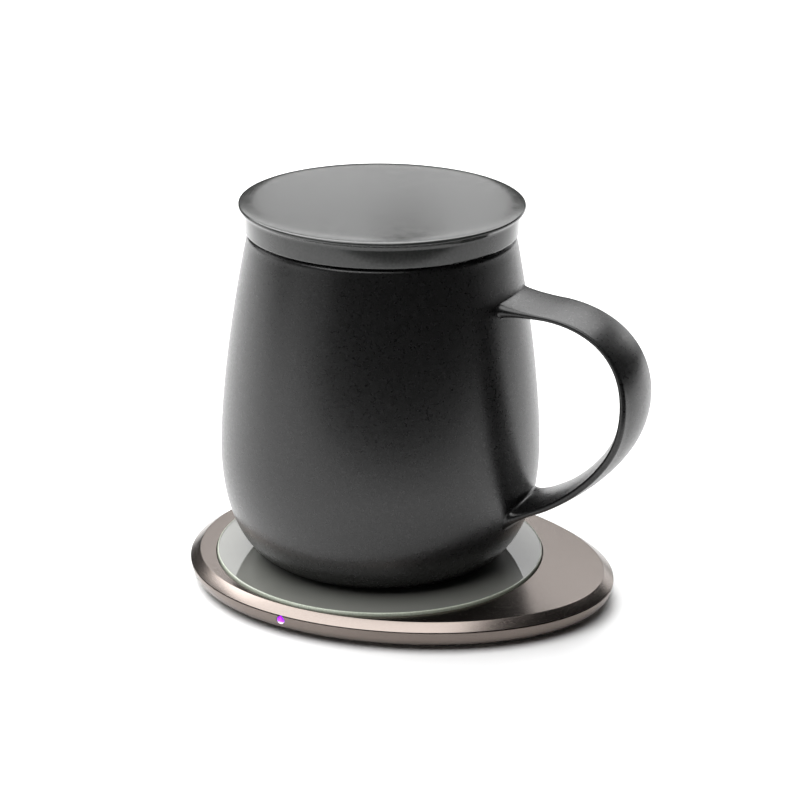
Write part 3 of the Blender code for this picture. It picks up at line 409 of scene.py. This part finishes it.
def circuit_mask():
    """Solder mask with fine copper tracks showing through as a darker and a paler green."""
    made, tree, shader, place = start_material("solder_mask")
    tracks = node(
        tree, "ShaderNodeTexBrick",
        {"Vector": place, "Scale": 900.0, "Mortar Size": 0.03, "Color1": rgba((0.012, 0.075, 0.03)),
         "Color2": rgba((0.02, 0.11, 0.045)), "Mortar": rgba((0.05, 0.2, 0.09))},
    )
    tree.links.new(tracks.outputs["Color"], shader.inputs["Base Color"])
    gloss = spread(tree, noise(tree, place, scale=700), low=0.3, high=0.45)
    tree.links.new(gloss, shader.inputs["Roughness"])
    tree.links.new(bump(tree, tracks.outputs["Fac"], distance=2e-5), shader.inputs["Normal"])
    return made


def stranded_copper():
    """Lacquered strands laid side by side."""
    made, tree, shader, place = start_material("litz_wire")
    wave = node(
        tree, "ShaderNodeTexWave", {"Vector": place, "Scale": 900.0, "Distortion": 2.0, "Detail": 1.0},
        wave_type="RINGS", rings_direction="Z",
    )
    dark, pale = rgba((0.36, 0.12, 0.04)), rgba((0.72, 0.32, 0.14))
    tree.links.new(mixed(tree, wave.outputs["Fac"], dark, pale), shader.inputs["Base Color"])
    shader.inputs["Metallic"].default_value = 1.0
    gloss = spread(tree, noise(tree, place, scale=1500), low=0.28, high=0.4)
    tree.links.new(gloss, shader.inputs["Roughness"])
    tree.links.new(bump(tree, wave.outputs["Fac"], distance=5e-5), shader.inputs["Normal"])
    return made


# Mesh helpers

def smooth(mesh):
    """Shade smoothly, except where faces meet at a crisp edge."""
    mesh.shade_smooth()
    mesh.set_sharp_from_angle(angle=SHARP_ANGLE)


def solid(name, bm, *finishes):
    bmesh.ops.recalc_face_normals(bm, faces=bm.faces)
    mesh = bpy.data.meshes.new(name)
    bm.to_mesh(mesh)
    bm.free()
    for finish in finishes:
        mesh.materials.append(finish)
    smooth(mesh)
    made = bpy.data.objects.new(name, mesh)
    bpy.context.collection.objects.link(made)
    return made


def softened(points):
    """A polyline of (across, up, rounding) points with each corner rounded off."""
    places = [Vector(point[:2]) for point in points]
    line = []
    for index, point in enumerate(points):
        here = places[index]
        radius = point[2] if len(point) > 2 else 0
        if radius == 0 or index in (0, len(points) - 1):
            line.append(here)
            continue
        back = places[index - 1] - here
        on = places[index + 1] - here
        first = here + back.normalized() * min(radius, back.length / 2)
        last = here + on.normalized() * min(radius, on.length / 2)
        for step in range(ROUNDING_STEPS + 1):
            t = step / ROUNDING_STEPS
            line.append(first.lerp(here, t).lerp(here.lerp(last, t), t))
    return [tuple(place) for place in line]


def skinned(name, rings, *finishes, closed=False):
    """Skin a chain of rings; a ring of one point closes an end to a tip, and other ends are capped."""
    bm = bmesh.new()
    loops = [[bm.verts.new(point) for point in ring] for ring in rings]
    pairs = list(zip(loops, loops[1:]))
    if closed:
        pairs.append((loops[-1], loops[0]))
    else:
        for loop in (loops[0], loops[-1]):
            if len(loop) > 1:
                bm.faces.new(loop)
    for first, second in pairs:
        count = max(len(first), len(second))
        for index in range(count):
            after = (index + 1) % count
            corners = [
                first[index % len(first)], first[after % len(first)],
                second[after % len(second)], second[index % len(second)],
            ]
            bm.faces.new(dict.fromkeys(corners))
    return solid(name, bm, *finishes)


def full_circle(steps):
    return [math.tau * step / steps for step in range(steps)]


def turned(name, profile, foot, *finishes, steps=ROUND_STEPS, closed=False):
    """Turn a profile of (radius, height) points round the mug's axis, above a foot height."""
    rings = []
    for radius, height in profile:
        if radius < TIP_RADIUS:
            rings.append([(0, 0, foot + height)])
            continue
        rings.append([
            (radius * math.cos(turn), radius * math.sin(turn), foot + height) for turn in full_circle(steps)
        ])
    return skinned(name, rings, *finishes, closed=closed)


def cut(target, tool):
    """Cut a tool out of the target for good, and drop the tool."""
    modifier = target.modifiers.new("cut", "BOOLEAN")
    modifier.object = tool
    modifier.operation = "DIFFERENCE"
    modifier.solver = "EXACT"
    graph = bpy.context.evaluated_depsgraph_get()
    mesh = bpy.data.meshes.new_from_object(target.evaluated_get(graph))
    target.modifiers.clear()
    target.data = mesh
    bpy.data.objects.remove(tool, do_unlink=True)


# Base outline

def outline_normal(turn):
    """The outward direction of the base's egg-shaped outline at a turn."""
    swell = 1 + BASE_EGG_SHARE * math.cos(turn)
    along_x = -BASE_LENGTH / 2 * math.sin(turn)
    rise = math.cos(turn) / math.sqrt(swell)
    bulge = BASE_EGG_SHARE * math.sin(turn) ** 2 / (2 * swell ** 1.5)
    return Vector((BASE_WIDTH / 2 * (rise + bulge), -along_x)).normalized()


def outline_point(turn, inset):
    """A point of the outline, set in towards the middle."""
    swell = 1 + BASE_EGG_SHARE * math.cos(turn)
    point = Vector((
        BASE_SHIFT + BASE_LENGTH / 2 * math.cos(turn),
        BASE_WIDTH / 2 * math.sin(turn) / math.sqrt(swell),
    ))
    return point - outline_normal(turn) * inset


OUTLINE_TURNS = full_circle(OUTLINE_STEPS)


def egg_ring(inset, height):
    """A ring that follows the base's outline."""
    return [(*outline_point(turn, inset), height) for turn in OUTLINE_TURNS]


def round_ring(radius, height):
    """A circle about the mug's axis, with its points in line with those of the outline."""
    return [(*(outline_point(turn, 0).normalized() * radius), height) for turn in OUTLINE_TURNS]


def facing(turn, inset, height):
    """A frame on the base's side: X points outward along the outline's normal."""
    normal = outline_normal(turn)
    point = outline_point(turn, inset)
    place = Matrix.Rotation(math.atan2(normal.y, normal.x), 4, "Z")
    place.translation = (point.x, point.y, height)
    return place


def placed(piece, place):
    piece.data.transform(place)
    return piece


# Mug

def mug_outer(height):
    """The cup's outer radius at a height above its foot."""
    if height > MUG_BELLY_HEIGHT:
        share = (height - MUG_BELLY_HEIGHT) / (MUG_HEIGHT - MUG_BELLY_HEIGHT)
        return MUG_RADIUS - (MUG_RADIUS - MUG_RIM_RADIUS) * share ** SHOULDER_POWER
    share = (MUG_BELLY_HEIGHT - height) / (MUG_BELLY_HEIGHT + MUG_TUCK)
    return MUG_RADIUS * math.sqrt(1 - share * share) ** TUCK_POWER


def mug_profile():
    """The cup's section, from the recess under its foot round its outside and rim to the floor inside."""
    top = MUG_HEIGHT - MUG_RIM_ROUND
    foot_radius = mug_outer(0)
    foot_inner = foot_radius - MUG_FOOT_WIDTH
    foot = softened([
        (0, MUG_RECESS),
        (foot_inner, MUG_RECESS, MUG_FOOT_EDGE),
        (foot_inner, 0, MUG_FOOT_EDGE),
        (foot_radius, 0, MUG_FOOT_EDGE),
        (mug_outer(MUG_FOOT_EDGE), MUG_FOOT_EDGE),
    ])
    start = math.asin(MUG_BELLY_HEIGHT / (MUG_BELLY_HEIGHT + MUG_TUCK))
    outer = []
    for step in range(1, BELLY_STEPS + 1):
        angle = start * (1 - step / BELLY_STEPS)
        height = MUG_BELLY_HEIGHT - (MUG_BELLY_HEIGHT + MUG_TUCK) * math.sin(angle)
        if height > 2 * MUG_FOOT_EDGE:
            outer.append((mug_outer(height), height))
    heights = [
        MUG_BELLY_HEIGHT + (top - MUG_BELLY_HEIGHT) * step / SHOULDER_STEPS
        for step in range(1, SHOULDER_STEPS + 1)
    ]
    outer += [(mug_outer(height), height) for height in heights]
    middle = mug_outer(top) - MUG_WALL / 2
    rim = []
    for step in range(1, RIM_STEPS):
        angle = math.pi * step / RIM_STEPS
        rim.append((middle + MUG_WALL / 2 * math.cos(angle), top + MUG_RIM_ROUND * math.sin(angle)))
    inner = [(mug_outer(height) - MUG_WALL, height) for height in reversed(heights)]
    bowl = []
    for step in range(BOWL_STEPS):
        angle = math.pi / 2 * step / BOWL_STEPS
        radius = (MUG_RADIUS - MUG_WALL) * math.cos(angle) ** FLOOR_POWER
        bowl.append((radius, MUG_BELLY_HEIGHT - (MUG_BELLY_HEIGHT - MUG_FLOOR) * math.sin(angle)))
    return foot + outer + rim + inner + bowl + [(0, MUG_FLOOR)]


def bezier(points, share):
    """The point at a share of the way along the smooth curve that a chain of pulling points shapes."""
    while len(points) > 1:
        points = [first.lerp(second, share) for first, second in zip(points, points[1:])]
    return points[0]


def strap_section(width, thickness, crown):
    """A round-edged strap section with crowned faces, as (across, out) points."""
    edge = thickness * HANDLE_EDGE_SHARE
    points = []
    for corner, (side, face) in enumerate(((1, 1), (-1, 1), (-1, -1), (1, -1))):
        across = side * (width / 2 - edge)
        out = face * (thickness / 2 - edge)
        for step in range(CORNER_STEPS + 1):
            angle = math.pi / 2 * (corner + step / CORNER_STEPS)
            points.append((across + edge * math.cos(angle), out + edge * math.sin(angle)))
        if side == face:
            for step in range(1, CROWN_STEPS):
                share = 1 - 2 * step / CROWN_STEPS
                rise = thickness / 2 + crown * (1 - share * share)
                points.append((across * share, face * rise))
    return points


def handle_rings():
    """Strap sections along the handle, with a hollow fillet that runs onto the mug at both roots."""
    pulls = [
        Vector((HANDLE_REACH * out, 0, HANDLE_LOW + HANDLE_RISE * up))
        for out, up in HANDLE_PULL_SHARES
    ]
    path = [bezier(pulls, step / HANDLE_STEPS) for step in range(HANDLE_STEPS + 1)]
    rings = []
    directions = []
    for index, point in enumerate(path):
        reach = UPPER_FILLET_REACH if index < HANDLE_STEPS / 2 else LOWER_FILLET_REACH
        if point.x < mug_outer(point.z) + reach:
            continue
        along = (path[min(index + 1, HANDLE_STEPS)] - path[max(index - 1, 0)]).normalized()
        normal = along.cross(Vector((0, 1, 0)))
        share = index / HANDLE_STEPS
        swell = math.cos(math.pi * (share - HANDLE_SWELL_SHARE)) ** 2
        width = HANDLE_WIDTH + HANDLE_WIDEN * swell
        thickness = HANDLE_THICKNESS + HANDLE_THICKEN * swell
        section = strap_section(width, thickness, HANDLE_CROWN + HANDLE_CROWN_SWELL * swell)
        rings.append([point + Vector((0, across, 0)) + normal * out for across, out in section])
        directions.append(along)
    half_level = (Vector((-1, 0, 0)) - directions[0]).normalized()
    upper = root_rings(rings[0], half_level, UPPER_FILLET_FLARE)
    lower = root_rings(rings[-1], directions[-1], LOWER_FILLET_FLARE)
    return upper[::-1] + rings + lower


def root_rings(ring, inward, most_flare):
    """Rings from the end of the strap inward to the mug's surface, flaring out as they meet it."""
    middle = sum(ring, Vector()) / len(ring)
    normal = inward.cross(Vector((0, 1, 0)))
    half_width = max(abs(point.y) for point in ring)
    half_height = max(abs((point - middle).dot(normal)) for point in ring)
    rings = []
    for step in range(1, FILLET_STEPS + 1):
        angle = math.pi / 2 * min(1, step / (FILLET_STEPS - 1))
        share = math.sin(angle)
        flare = most_flare * (FILLET_EASE * share ** 2 + (1 - FILLET_EASE) * (1 - math.cos(angle)))
        sink = FILLET_SINK if step == FILLET_STEPS else 0
        placed_ring = []
        for point in ring:
            out = normal * ((point - middle).dot(normal) / half_height ** 2)
            out.y = point.y / half_width ** 2
            out.normalize()
            spot = point + out * flare
            placed_ring.append(spot + inward * way_to_mug(spot, inward, sink) * share)
        rings.append(placed_ring)
    return rings


def way_to_mug(spot, inward, sink):
    """How far it is from a spot outside the mug, going inward, to the surface or a little below it."""
    near, far = 0, 2 * UPPER_FILLET_REACH
    for _ in range(FILLET_SEARCHES):
        way = (near + far) / 2
        place = spot + inward * way
        if math.hypot(place.x, place.y) > mug_outer(place.z) - sink:
            near = way
        else:
            far = way
    return way


def build_mug():
    glaze = mug_glaze()
    mug = turned("mug_ceramic", mug_profile(), MUG_FOOT, glaze)
    handle = skinned("handle_ceramic", handle_rings(), glaze)
    handle.data.transform(Matrix.Translation((0, 0, MUG_FOOT)))
    for piece, old in ((mug, "mug_body"), (handle, "mug_handle")):
        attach(piece, "mug")
        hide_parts(old)


# Lid

def lid_profile():
    """The lid's section: its top with a soft shoulder, its concave side, its spigot and its hollow."""
    band_low = LID_HEIGHT - LID_RIM_BAND
    spigot = mug_outer(MUG_HEIGHT - MUG_RIM_ROUND) - MUG_WALL - LID_FIT
    hollow = spigot - LID_SPIGOT_WALL
    roof = LID_HEIGHT - LID_PLATE
    top = softened([
        (0, LID_HEIGHT),
        (LID_RIM_RADIUS - LID_SHOULDER_WIDTH, LID_HEIGHT, LID_SHOULDER_WIDTH),
        (LID_RIM_RADIUS, LID_HEIGHT - LID_SHOULDER_DROP, LID_EDGE),
        (LID_RIM_RADIUS, band_low, LID_EDGE / 2),
        (LID_RIM_RADIUS - LID_EDGE, band_low - LID_EDGE / 2),
    ])
    across, up = top[-1]
    flare = []
    for step in range(1, LID_FLARE_STEPS + 1):
        angle = math.pi / 2 * step / LID_FLARE_STEPS
        flare.append((
            across - (across - LID_SKIRT_RADIUS) * math.sin(angle),
            up - (up - LID_SKIRT_HEIGHT) * (1 - math.cos(angle)),
        ))
    below = softened([
        (LID_SKIRT_RADIUS, LID_SKIRT_HEIGHT),
        (LID_SKIRT_RADIUS, 0, LID_EDGE),
        (spigot, 0, LID_EDGE / 2),
        (spigot, -LID_SPIGOT_DEPTH, LID_EDGE),
        (hollow, -LID_SPIGOT_DEPTH, LID_EDGE),
        (hollow, roof, LID_EDGE * 2),
        (0, roof),
    ])
    return top + flare + below[1:]


def build_lid():
    lid = turned("lid_ceramic", lid_profile(), LID_FOOT, lid_glaze())
    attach(lid, "lid")
    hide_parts("lid")


# Base

def build_upper_shell(finish):
    outer = softened([
        (UPPER_RIM_WIDTH, PARTING_HEIGHT),
        (0, PARTING_HEIGHT, CRISP_EDGE),
        (CHAMFER_WIDTH, HOUSING_HEIGHT, CRISP_EDGE),
        (CHAMFER_WIDTH + 2 * CRISP_EDGE, HOUSING_HEIGHT),
    ])
    seat = softened([
        (RECESS_RADIUS + 2 * CRISP_EDGE, HOUSING_HEIGHT),
        (RECESS_RADIUS, HOUSING_HEIGHT, CRISP_EDGE),
        (RECESS_RADIUS, SEAT_TOP, CRISP_EDGE),
        (WINDOW_RADIUS, SEAT_TOP, CRISP_EDGE),
        (WINDOW_RADIUS, SEAT_BOTTOM, CRISP_EDGE),
        (CUP_RADIUS, SEAT_BOTTOM, CRISP_EDGE),
        (CUP_RADIUS, HOUSING_HEIGHT - UPPER_PLATE),
    ])
    rings = [egg_ring(across, up) for across, up in outer]
    rings += [round_ring(across, up) for across, up in seat]
    rings.append(egg_ring(UPPER_RIM_WIDTH, HOUSING_HEIGHT - UPPER_PLATE))
    shell = skinned("upper_shell", rings, finish, closed=True)
    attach(shell, "warming_base")
    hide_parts("upper_housing")


def curve_point(angle, wall):
    """A point of the tray's curve as (inset, height), from its rim at 0 to its underside at a quarter."""
    inset = CURVE_WIDTH * (1 - math.cos(angle)) + wall
    return inset, PARTING_HEIGHT - CURVE_DROP * math.sin(angle)


def rod(radius, low, high, place):
    profile = [(0, low), (radius, low), (radius, high), (0, high)]
    return placed(turned("tool", profile, 0, steps=ROD_STEPS), place)


def build_lower_shell(finish):
    rim_angle = math.asin(GAP / CURVE_DROP)
    floor_angle = math.asin((CURVE_DROP - HOUSING_FLOOR) / CURVE_DROP)
    outer = [
        curve_point(math.pi / 2 + (rim_angle - math.pi / 2) * step / TRAY_STEPS, 0)
        for step in range(TRAY_STEPS + 1)
    ]
    inner = [
        curve_point(rim_angle + (floor_angle - rim_angle) * step / TRAY_INNER_STEPS, HOUSING_WALL)
        for step in range(TRAY_INNER_STEPS + 1)
    ]
    inset, height = outer.pop()
    rim = softened([
        outer[-1],
        (inset, height, CRISP_EDGE),
        (inner[0][0], height, CRISP_EDGE),
        inner[1],
    ])
    profile = outer + rim[1:-1] + inner[1:]
    shell = skinned("lower_shell", [egg_ring(*point) for point in profile], finish)
    cut(shell, inlet_tool())
    light = facing(LIGHT_TURN, LENS_INSET, LIGHT_HEIGHT) @ Matrix.Rotation(math.pi / 2, 4, "Y")
    cut(shell, rod(LENS_RADIUS + GAP / 2, -HOUSING_WALL - OVERRUN, OVERRUN, light))
    for degrees in CASE_SCREW_DEGREES:
        place = Matrix.Rotation(math.radians(degrees), 4, "Z") @ Matrix.Translation((CASE_SCREW_RING, 0, 0))
        cut(shell, rod(CASE_SINK_RADIUS, -OVERRUN, UNDERSIDE_HEIGHT + HOUSING_FLOOR + OVERRUN, place))
    smooth(shell.data)
    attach(shell, "warming_base")
    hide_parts("lower_housing")


def build_glass():
    profile = softened([
        (0, GLASS_BOTTOM),
        (GLASS_RADIUS, GLASS_BOTTOM, GLASS_EDGE / 2),
        (GLASS_RADIUS, GLASS_TOP, GLASS_EDGE),
        (GLASS_RADIUS - 2 * GLASS_EDGE, GLASS_TOP),
        (0, GLASS_TOP),
    ])
    glass = turned("glass_disc", profile, 0, plate_glass(), painted_rim_highlight(), steps=OUTLINE_STEPS)
    # Faces on the outer rim take the pale green painted highlight.
    for face in glass.data.polygons:
        if math.hypot(face.center.x, face.center.y) > GLASS_RADIUS - GLASS_RIM_HIGHLIGHT_SHARE * GLASS_EDGE:
            face.material_index = 1
    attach(glass, "warming_base")
    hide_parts("glass_plate")


def build_foot_mat():
    low, high = MAT_LOW[2], MAT_HIGH[2]
    profile = softened([
        (MAT_INSET + 2 * SOFT_EDGE, low),
        (MAT_INSET, low, SOFT_EDGE),
        (MAT_INSET, high, SOFT_EDGE),
        (MAT_INSET + 2 * SOFT_EDGE, high),
    ])
    dark, pale = (0.02, 0.02, 0.02), (0.035, 0.035, 0.035)
    finish = grained("foot_silicone", dark, pale, 1500, (0.6, 0.75), relief=2e-5)
    mat = skinned("standing_mat", [egg_ring(*point) for point in profile], finish)
    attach(mat, "warming_base")
    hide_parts("foot_mat")


def build_lens():
    """The light pipe: a domed head in the side of the tray and a thin stem back to the lamp."""
    shares = [step / LENS_DOME_STEPS for step in range(1, LENS_DOME_STEPS)]
    rings = [[Vector((LENS_DOME, 0, 0))]]
    stem_end = -LENS_HEAD - LENS_STEM
    stations = [(LENS_DOME * (1 - share ** 2), LENS_RADIUS * share, 0) for share in shares]
    stations += [(-LENS_DOME / 2, LENS_RADIUS, 0), (-LENS_HEAD, LENS_RADIUS, 0)]
    stations += [(along, LENS_STEM_RADIUS, LENS_STEM_DROP) for along in (-LENS_HEAD, stem_end)]
    for along, radius, drop in stations:
        rings.append([
            Vector((along, radius * math.cos(turn), radius * math.sin(turn) - drop))
            for turn in full_circle(LENS_STEPS)
        ])
    lens = skinned("light_pipe", rings, lit_lens())
    placed(lens, facing(LIGHT_TURN, LENS_INSET, LIGHT_HEIGHT))
    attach(lens, "warming_base")
    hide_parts("indicator_lens")


def inlet_ring(along, shrink):
    """The inlet's outline with its round ends, a way along its axis and drawn in by some amount."""
    radius = INLET_THICKNESS / 2 - shrink
    straight = (INLET_WIDTH - INLET_THICKNESS) / 2
    points = []
    for side in (1, -1):
        for step in range(INLET_STEPS + 1):
            angle = math.pi * step / INLET_STEPS - math.pi / 2
            across = side * (straight + radius * math.cos(angle))
            points.append(Vector((along, across, side * radius * math.sin(angle))))
    return points


def inlet_frame():
    return facing(INLET_TURN, INLET_INSET, INLET_HEIGHT)


def inlet_tool():
    tool = skinned("tool", [inlet_ring(-INLET_DEPTH - GAP, -GAP), inlet_ring(OVERRUN, -GAP)])
    return placed(tool, inlet_frame())


def build_inlet():
    steel = grained("nickelled_steel", (0.5, 0.5, 0.5), (0.66, 0.66, 0.65), 1800, (0.22, 0.34), metallic=1.0)
    lip = INLET_WALL / 3
    stations = [
        (-INLET_DEPTH, 0),
        (-lip, 0),
        (0, lip),
        (0, INLET_WALL - lip / 2),
        (-lip, INLET_WALL),
        (INLET_WALL - INLET_DEPTH, INLET_WALL),
    ]
    shell = skinned("inlet_shell", [inlet_ring(*station) for station in stations], steel)
    placed(shell, inlet_frame())
    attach(shell, "warming_base")
    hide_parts("usb_c_shell")


def dress_inner_pieces():
    """Finishes for the pieces that stay as the frame has them."""
    # Each grain: dark and pale colour, fineness, roughness range, metal share, relief and detail
    grains = {
        "moulded_epoxy": ((0.012, 0.012, 0.012), (0.03, 0.03, 0.03), 3000, (0.4, 0.55), 0.0, 1e-5),
        "plated_steel": ((0.45, 0.45, 0.45), (0.62, 0.62, 0.61), 2500, (0.25, 0.4), 1.0, 0.0),
        "tin_plate": ((0.5, 0.5, 0.48), (0.7, 0.7, 0.67), 2000, (0.25, 0.4), 1.0, 0.0),
        "brown_ceramic": ((0.36, 0.25, 0.14), (0.52, 0.38, 0.24), 2600, (0.4, 0.55), 0.0, 1e-5),
        "sintered_ferrite": ((0.03, 0.03, 0.032), (0.07, 0.07, 0.074), 2400, (0.45, 0.6), 0.0, 2e-5),
        "moulded_nylon": ((0.02, 0.02, 0.02), (0.04, 0.04, 0.04), 2200, (0.45, 0.6), 0.0, 2e-5),
        "grey_silicone": ((0.1, 0.1, 0.1), (0.14, 0.14, 0.14), 1800, (0.6, 0.75), 0.0, 2e-5),
        "black_adhesive": ((0.03, 0.03, 0.03), (0.06, 0.06, 0.06), 1500, (0.5, 0.65), 0.0, 3e-5),
        "mica_flakes": ((0.36, 0.28, 0.14), (0.6, 0.52, 0.36), 700, (0.3, 0.55), 0.0, 2e-5, 6.0),
        "polyimide_film": ((0.42, 0.2, 0.03), (0.56, 0.3, 0.07), 900, (0.25, 0.4)),
        "fired_silver": ((0.45, 0.43, 0.4), (0.68, 0.66, 0.62), 1600, (0.35, 0.5), 1.0, 1e-5),
        "light_phosphor": ((0.8, 0.72, 0.45), (0.9, 0.84, 0.62), 4000, (0.35, 0.5)),
    }
    made = {name: grained(name, *values) for name, values in grains.items()}
    epoxy, steel, fired = made["moulded_epoxy"], made["plated_steel"], made["brown_ceramic"]
    board = circuit_mask()
    finishes = {
        "heating_film": made["fired_silver"],
        "glass_adhesive": made["black_adhesive"],
        "insulation_sheet": made["mica_flakes"],
        "induction_coil": stranded_copper(),
        "ferrite_shield": made["sintered_ferrite"],
        "filter_inductor": made["sintered_ferrite"],
        "coil_carrier": made["moulded_nylon"],
        "temperature_sensor": fired,
        "sensor_sleeve": made["grey_silicone"],
        "sensor_tail": made["polyimide_film"],
        "indicator_tail": made["polyimide_film"],
        "circuit_board": board,
        "indicator_board": board,
        "indicator_led": made["light_phosphor"],
        "usb_c_tongue": epoxy,
        "controller_chip": epoxy,
    }
    families = {
        "power_switch": epoxy,
        "tank_capacitor": fired,
        "input_capacitor": fired,
        "coil_terminal": made["tin_plate"],
        "case_screw": steel,
        "board_screw": steel,
    }
    for name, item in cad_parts.items():
        finish = finishes.get(name) or families.get(name.rsplit("_", 1)[0])
        if finish is None:
            continue
        item.data.materials.clear()
        item.data.materials.append(finish)


# Stage, lights and camera

def camera_axes():
    """The photograph's camera axes in the frame: right, up and ahead."""
    ahead = Vector((
        math.sin(CAMERA_YAW) * math.cos(CAMERA_PITCH),
        math.cos(CAMERA_YAW) * math.cos(CAMERA_PITCH),
        -math.sin(CAMERA_PITCH),
    ))
    right = Vector((math.cos(CAMERA_YAW), -math.sin(CAMERA_YAW), 0))
    up = right.cross(ahead)
    rolled_right = right * math.cos(CAMERA_ROLL) + up * math.sin(CAMERA_ROLL)
    rolled_up = up * math.cos(CAMERA_ROLL) - right * math.sin(CAMERA_ROLL)
    return [CAMERA_ROTATION @ axis for axis in (rolled_right, rolled_up, ahead)]


def build_camera():
    data = bpy.data.cameras.new("photo_camera")
    data.sensor_width = SENSOR_WIDTH
    data.lens = FOCAL_PIXELS / PICTURE_WIDTH * SENSOR_WIDTH
    data.clip_start = CAMERA_CLIP
    camera = bpy.data.objects.new("photo_camera", data)
    bpy.context.collection.objects.link(camera)
    right, up, ahead = camera_axes()
    rotation = Matrix((right, up, -ahead)).transposed()
    spot = CAMERA_ROTATION @ Vector((0, -CAMERA_DISTANCE, CAMERA_HEIGHT))
    camera.matrix_world = Matrix.Translation(spot) @ rotation.to_4x4()
    bpy.context.scene.camera = camera


def panel(name, spot, size, power, aim):
    """One soft light panel, placed and aimed as the camera sees it."""
    data = bpy.data.lights.new(name, "AREA")
    data.shape = "RECTANGLE"
    data.size, data.size_y = size
    data.energy = power
    light = bpy.data.objects.new(name, data)
    bpy.context.collection.objects.link(light)
    place = CAMERA_ROTATION @ Vector(spot)
    target = CAMERA_ROTATION @ Vector(aim)
    light.rotation_euler = (place - target).to_track_quat("Z", "Y").to_euler()
    light.location = place


def build_floor():
    """A pale sheet whose front edge comes nearer to the camera towards the left."""
    mesh = bpy.data.meshes.new("studio_floor")
    corners = [
        (side * FLOOR_HALF, side * FLOOR_HALF * FLOOR_SLANT - FLOOR_FRONT) for side in (-1, 1)
    ]
    corners += [(side * FLOOR_HALF, FLOOR_HALF) for side in (1, -1)]
    corners = [CAMERA_ROTATION @ Vector((*corner, 0)) for corner in corners]
    mesh.from_pydata(corners, [], [(0, 1, 2, 3)])
    floor = bpy.data.objects.new("studio_floor", mesh)
    bpy.context.collection.objects.link(floor)
    made, tree, shader, place = start_material("white_floor")
    paper = spread(tree, noise(tree, place, scale=12), *FLOOR_TONES)
    colour = node(tree, "ShaderNodeCombineColor", {"Red": paper, "Green": paper, "Blue": paper})
    tree.links.new(colour.outputs["Color"], shader.inputs["Base Color"])
    shader.inputs["Roughness"].default_value = FLOOR_ROUGHNESS
    mesh.materials.append(made)


def build_light():
    world = bpy.data.worlds.new("studio")
    world.use_nodes = True
    background = world.node_tree.nodes["Background"]
    background.inputs["Color"].default_value = rgba((1.0, 1.0, 1.0))
    background.inputs["Strength"].default_value = SKY_STRENGTH
    bpy.context.scene.world = world
    for light in LIGHT_PANELS:
        panel(*light)


def main():
    build_camera()
    build_mug()
    build_lid()
    build_upper_shell(anodised("champagne_anodising", *SHELL_TONES, rough=(0.22, 0.28)))
    # The lower tray's darker tones are painted shade.
    build_lower_shell(anodised("champagne_lower_painted_shade", *SHADED_TRAY_TONES, rough=(0.28, 0.34)))
    build_glass()
    build_foot_mat()
    build_lens()
    build_inlet()
    dress_inner_pieces()
    build_floor()
    build_light()
    bpy.context.scene.view_settings.view_transform = "Standard"


main()
bpy.context.view_layer.update()
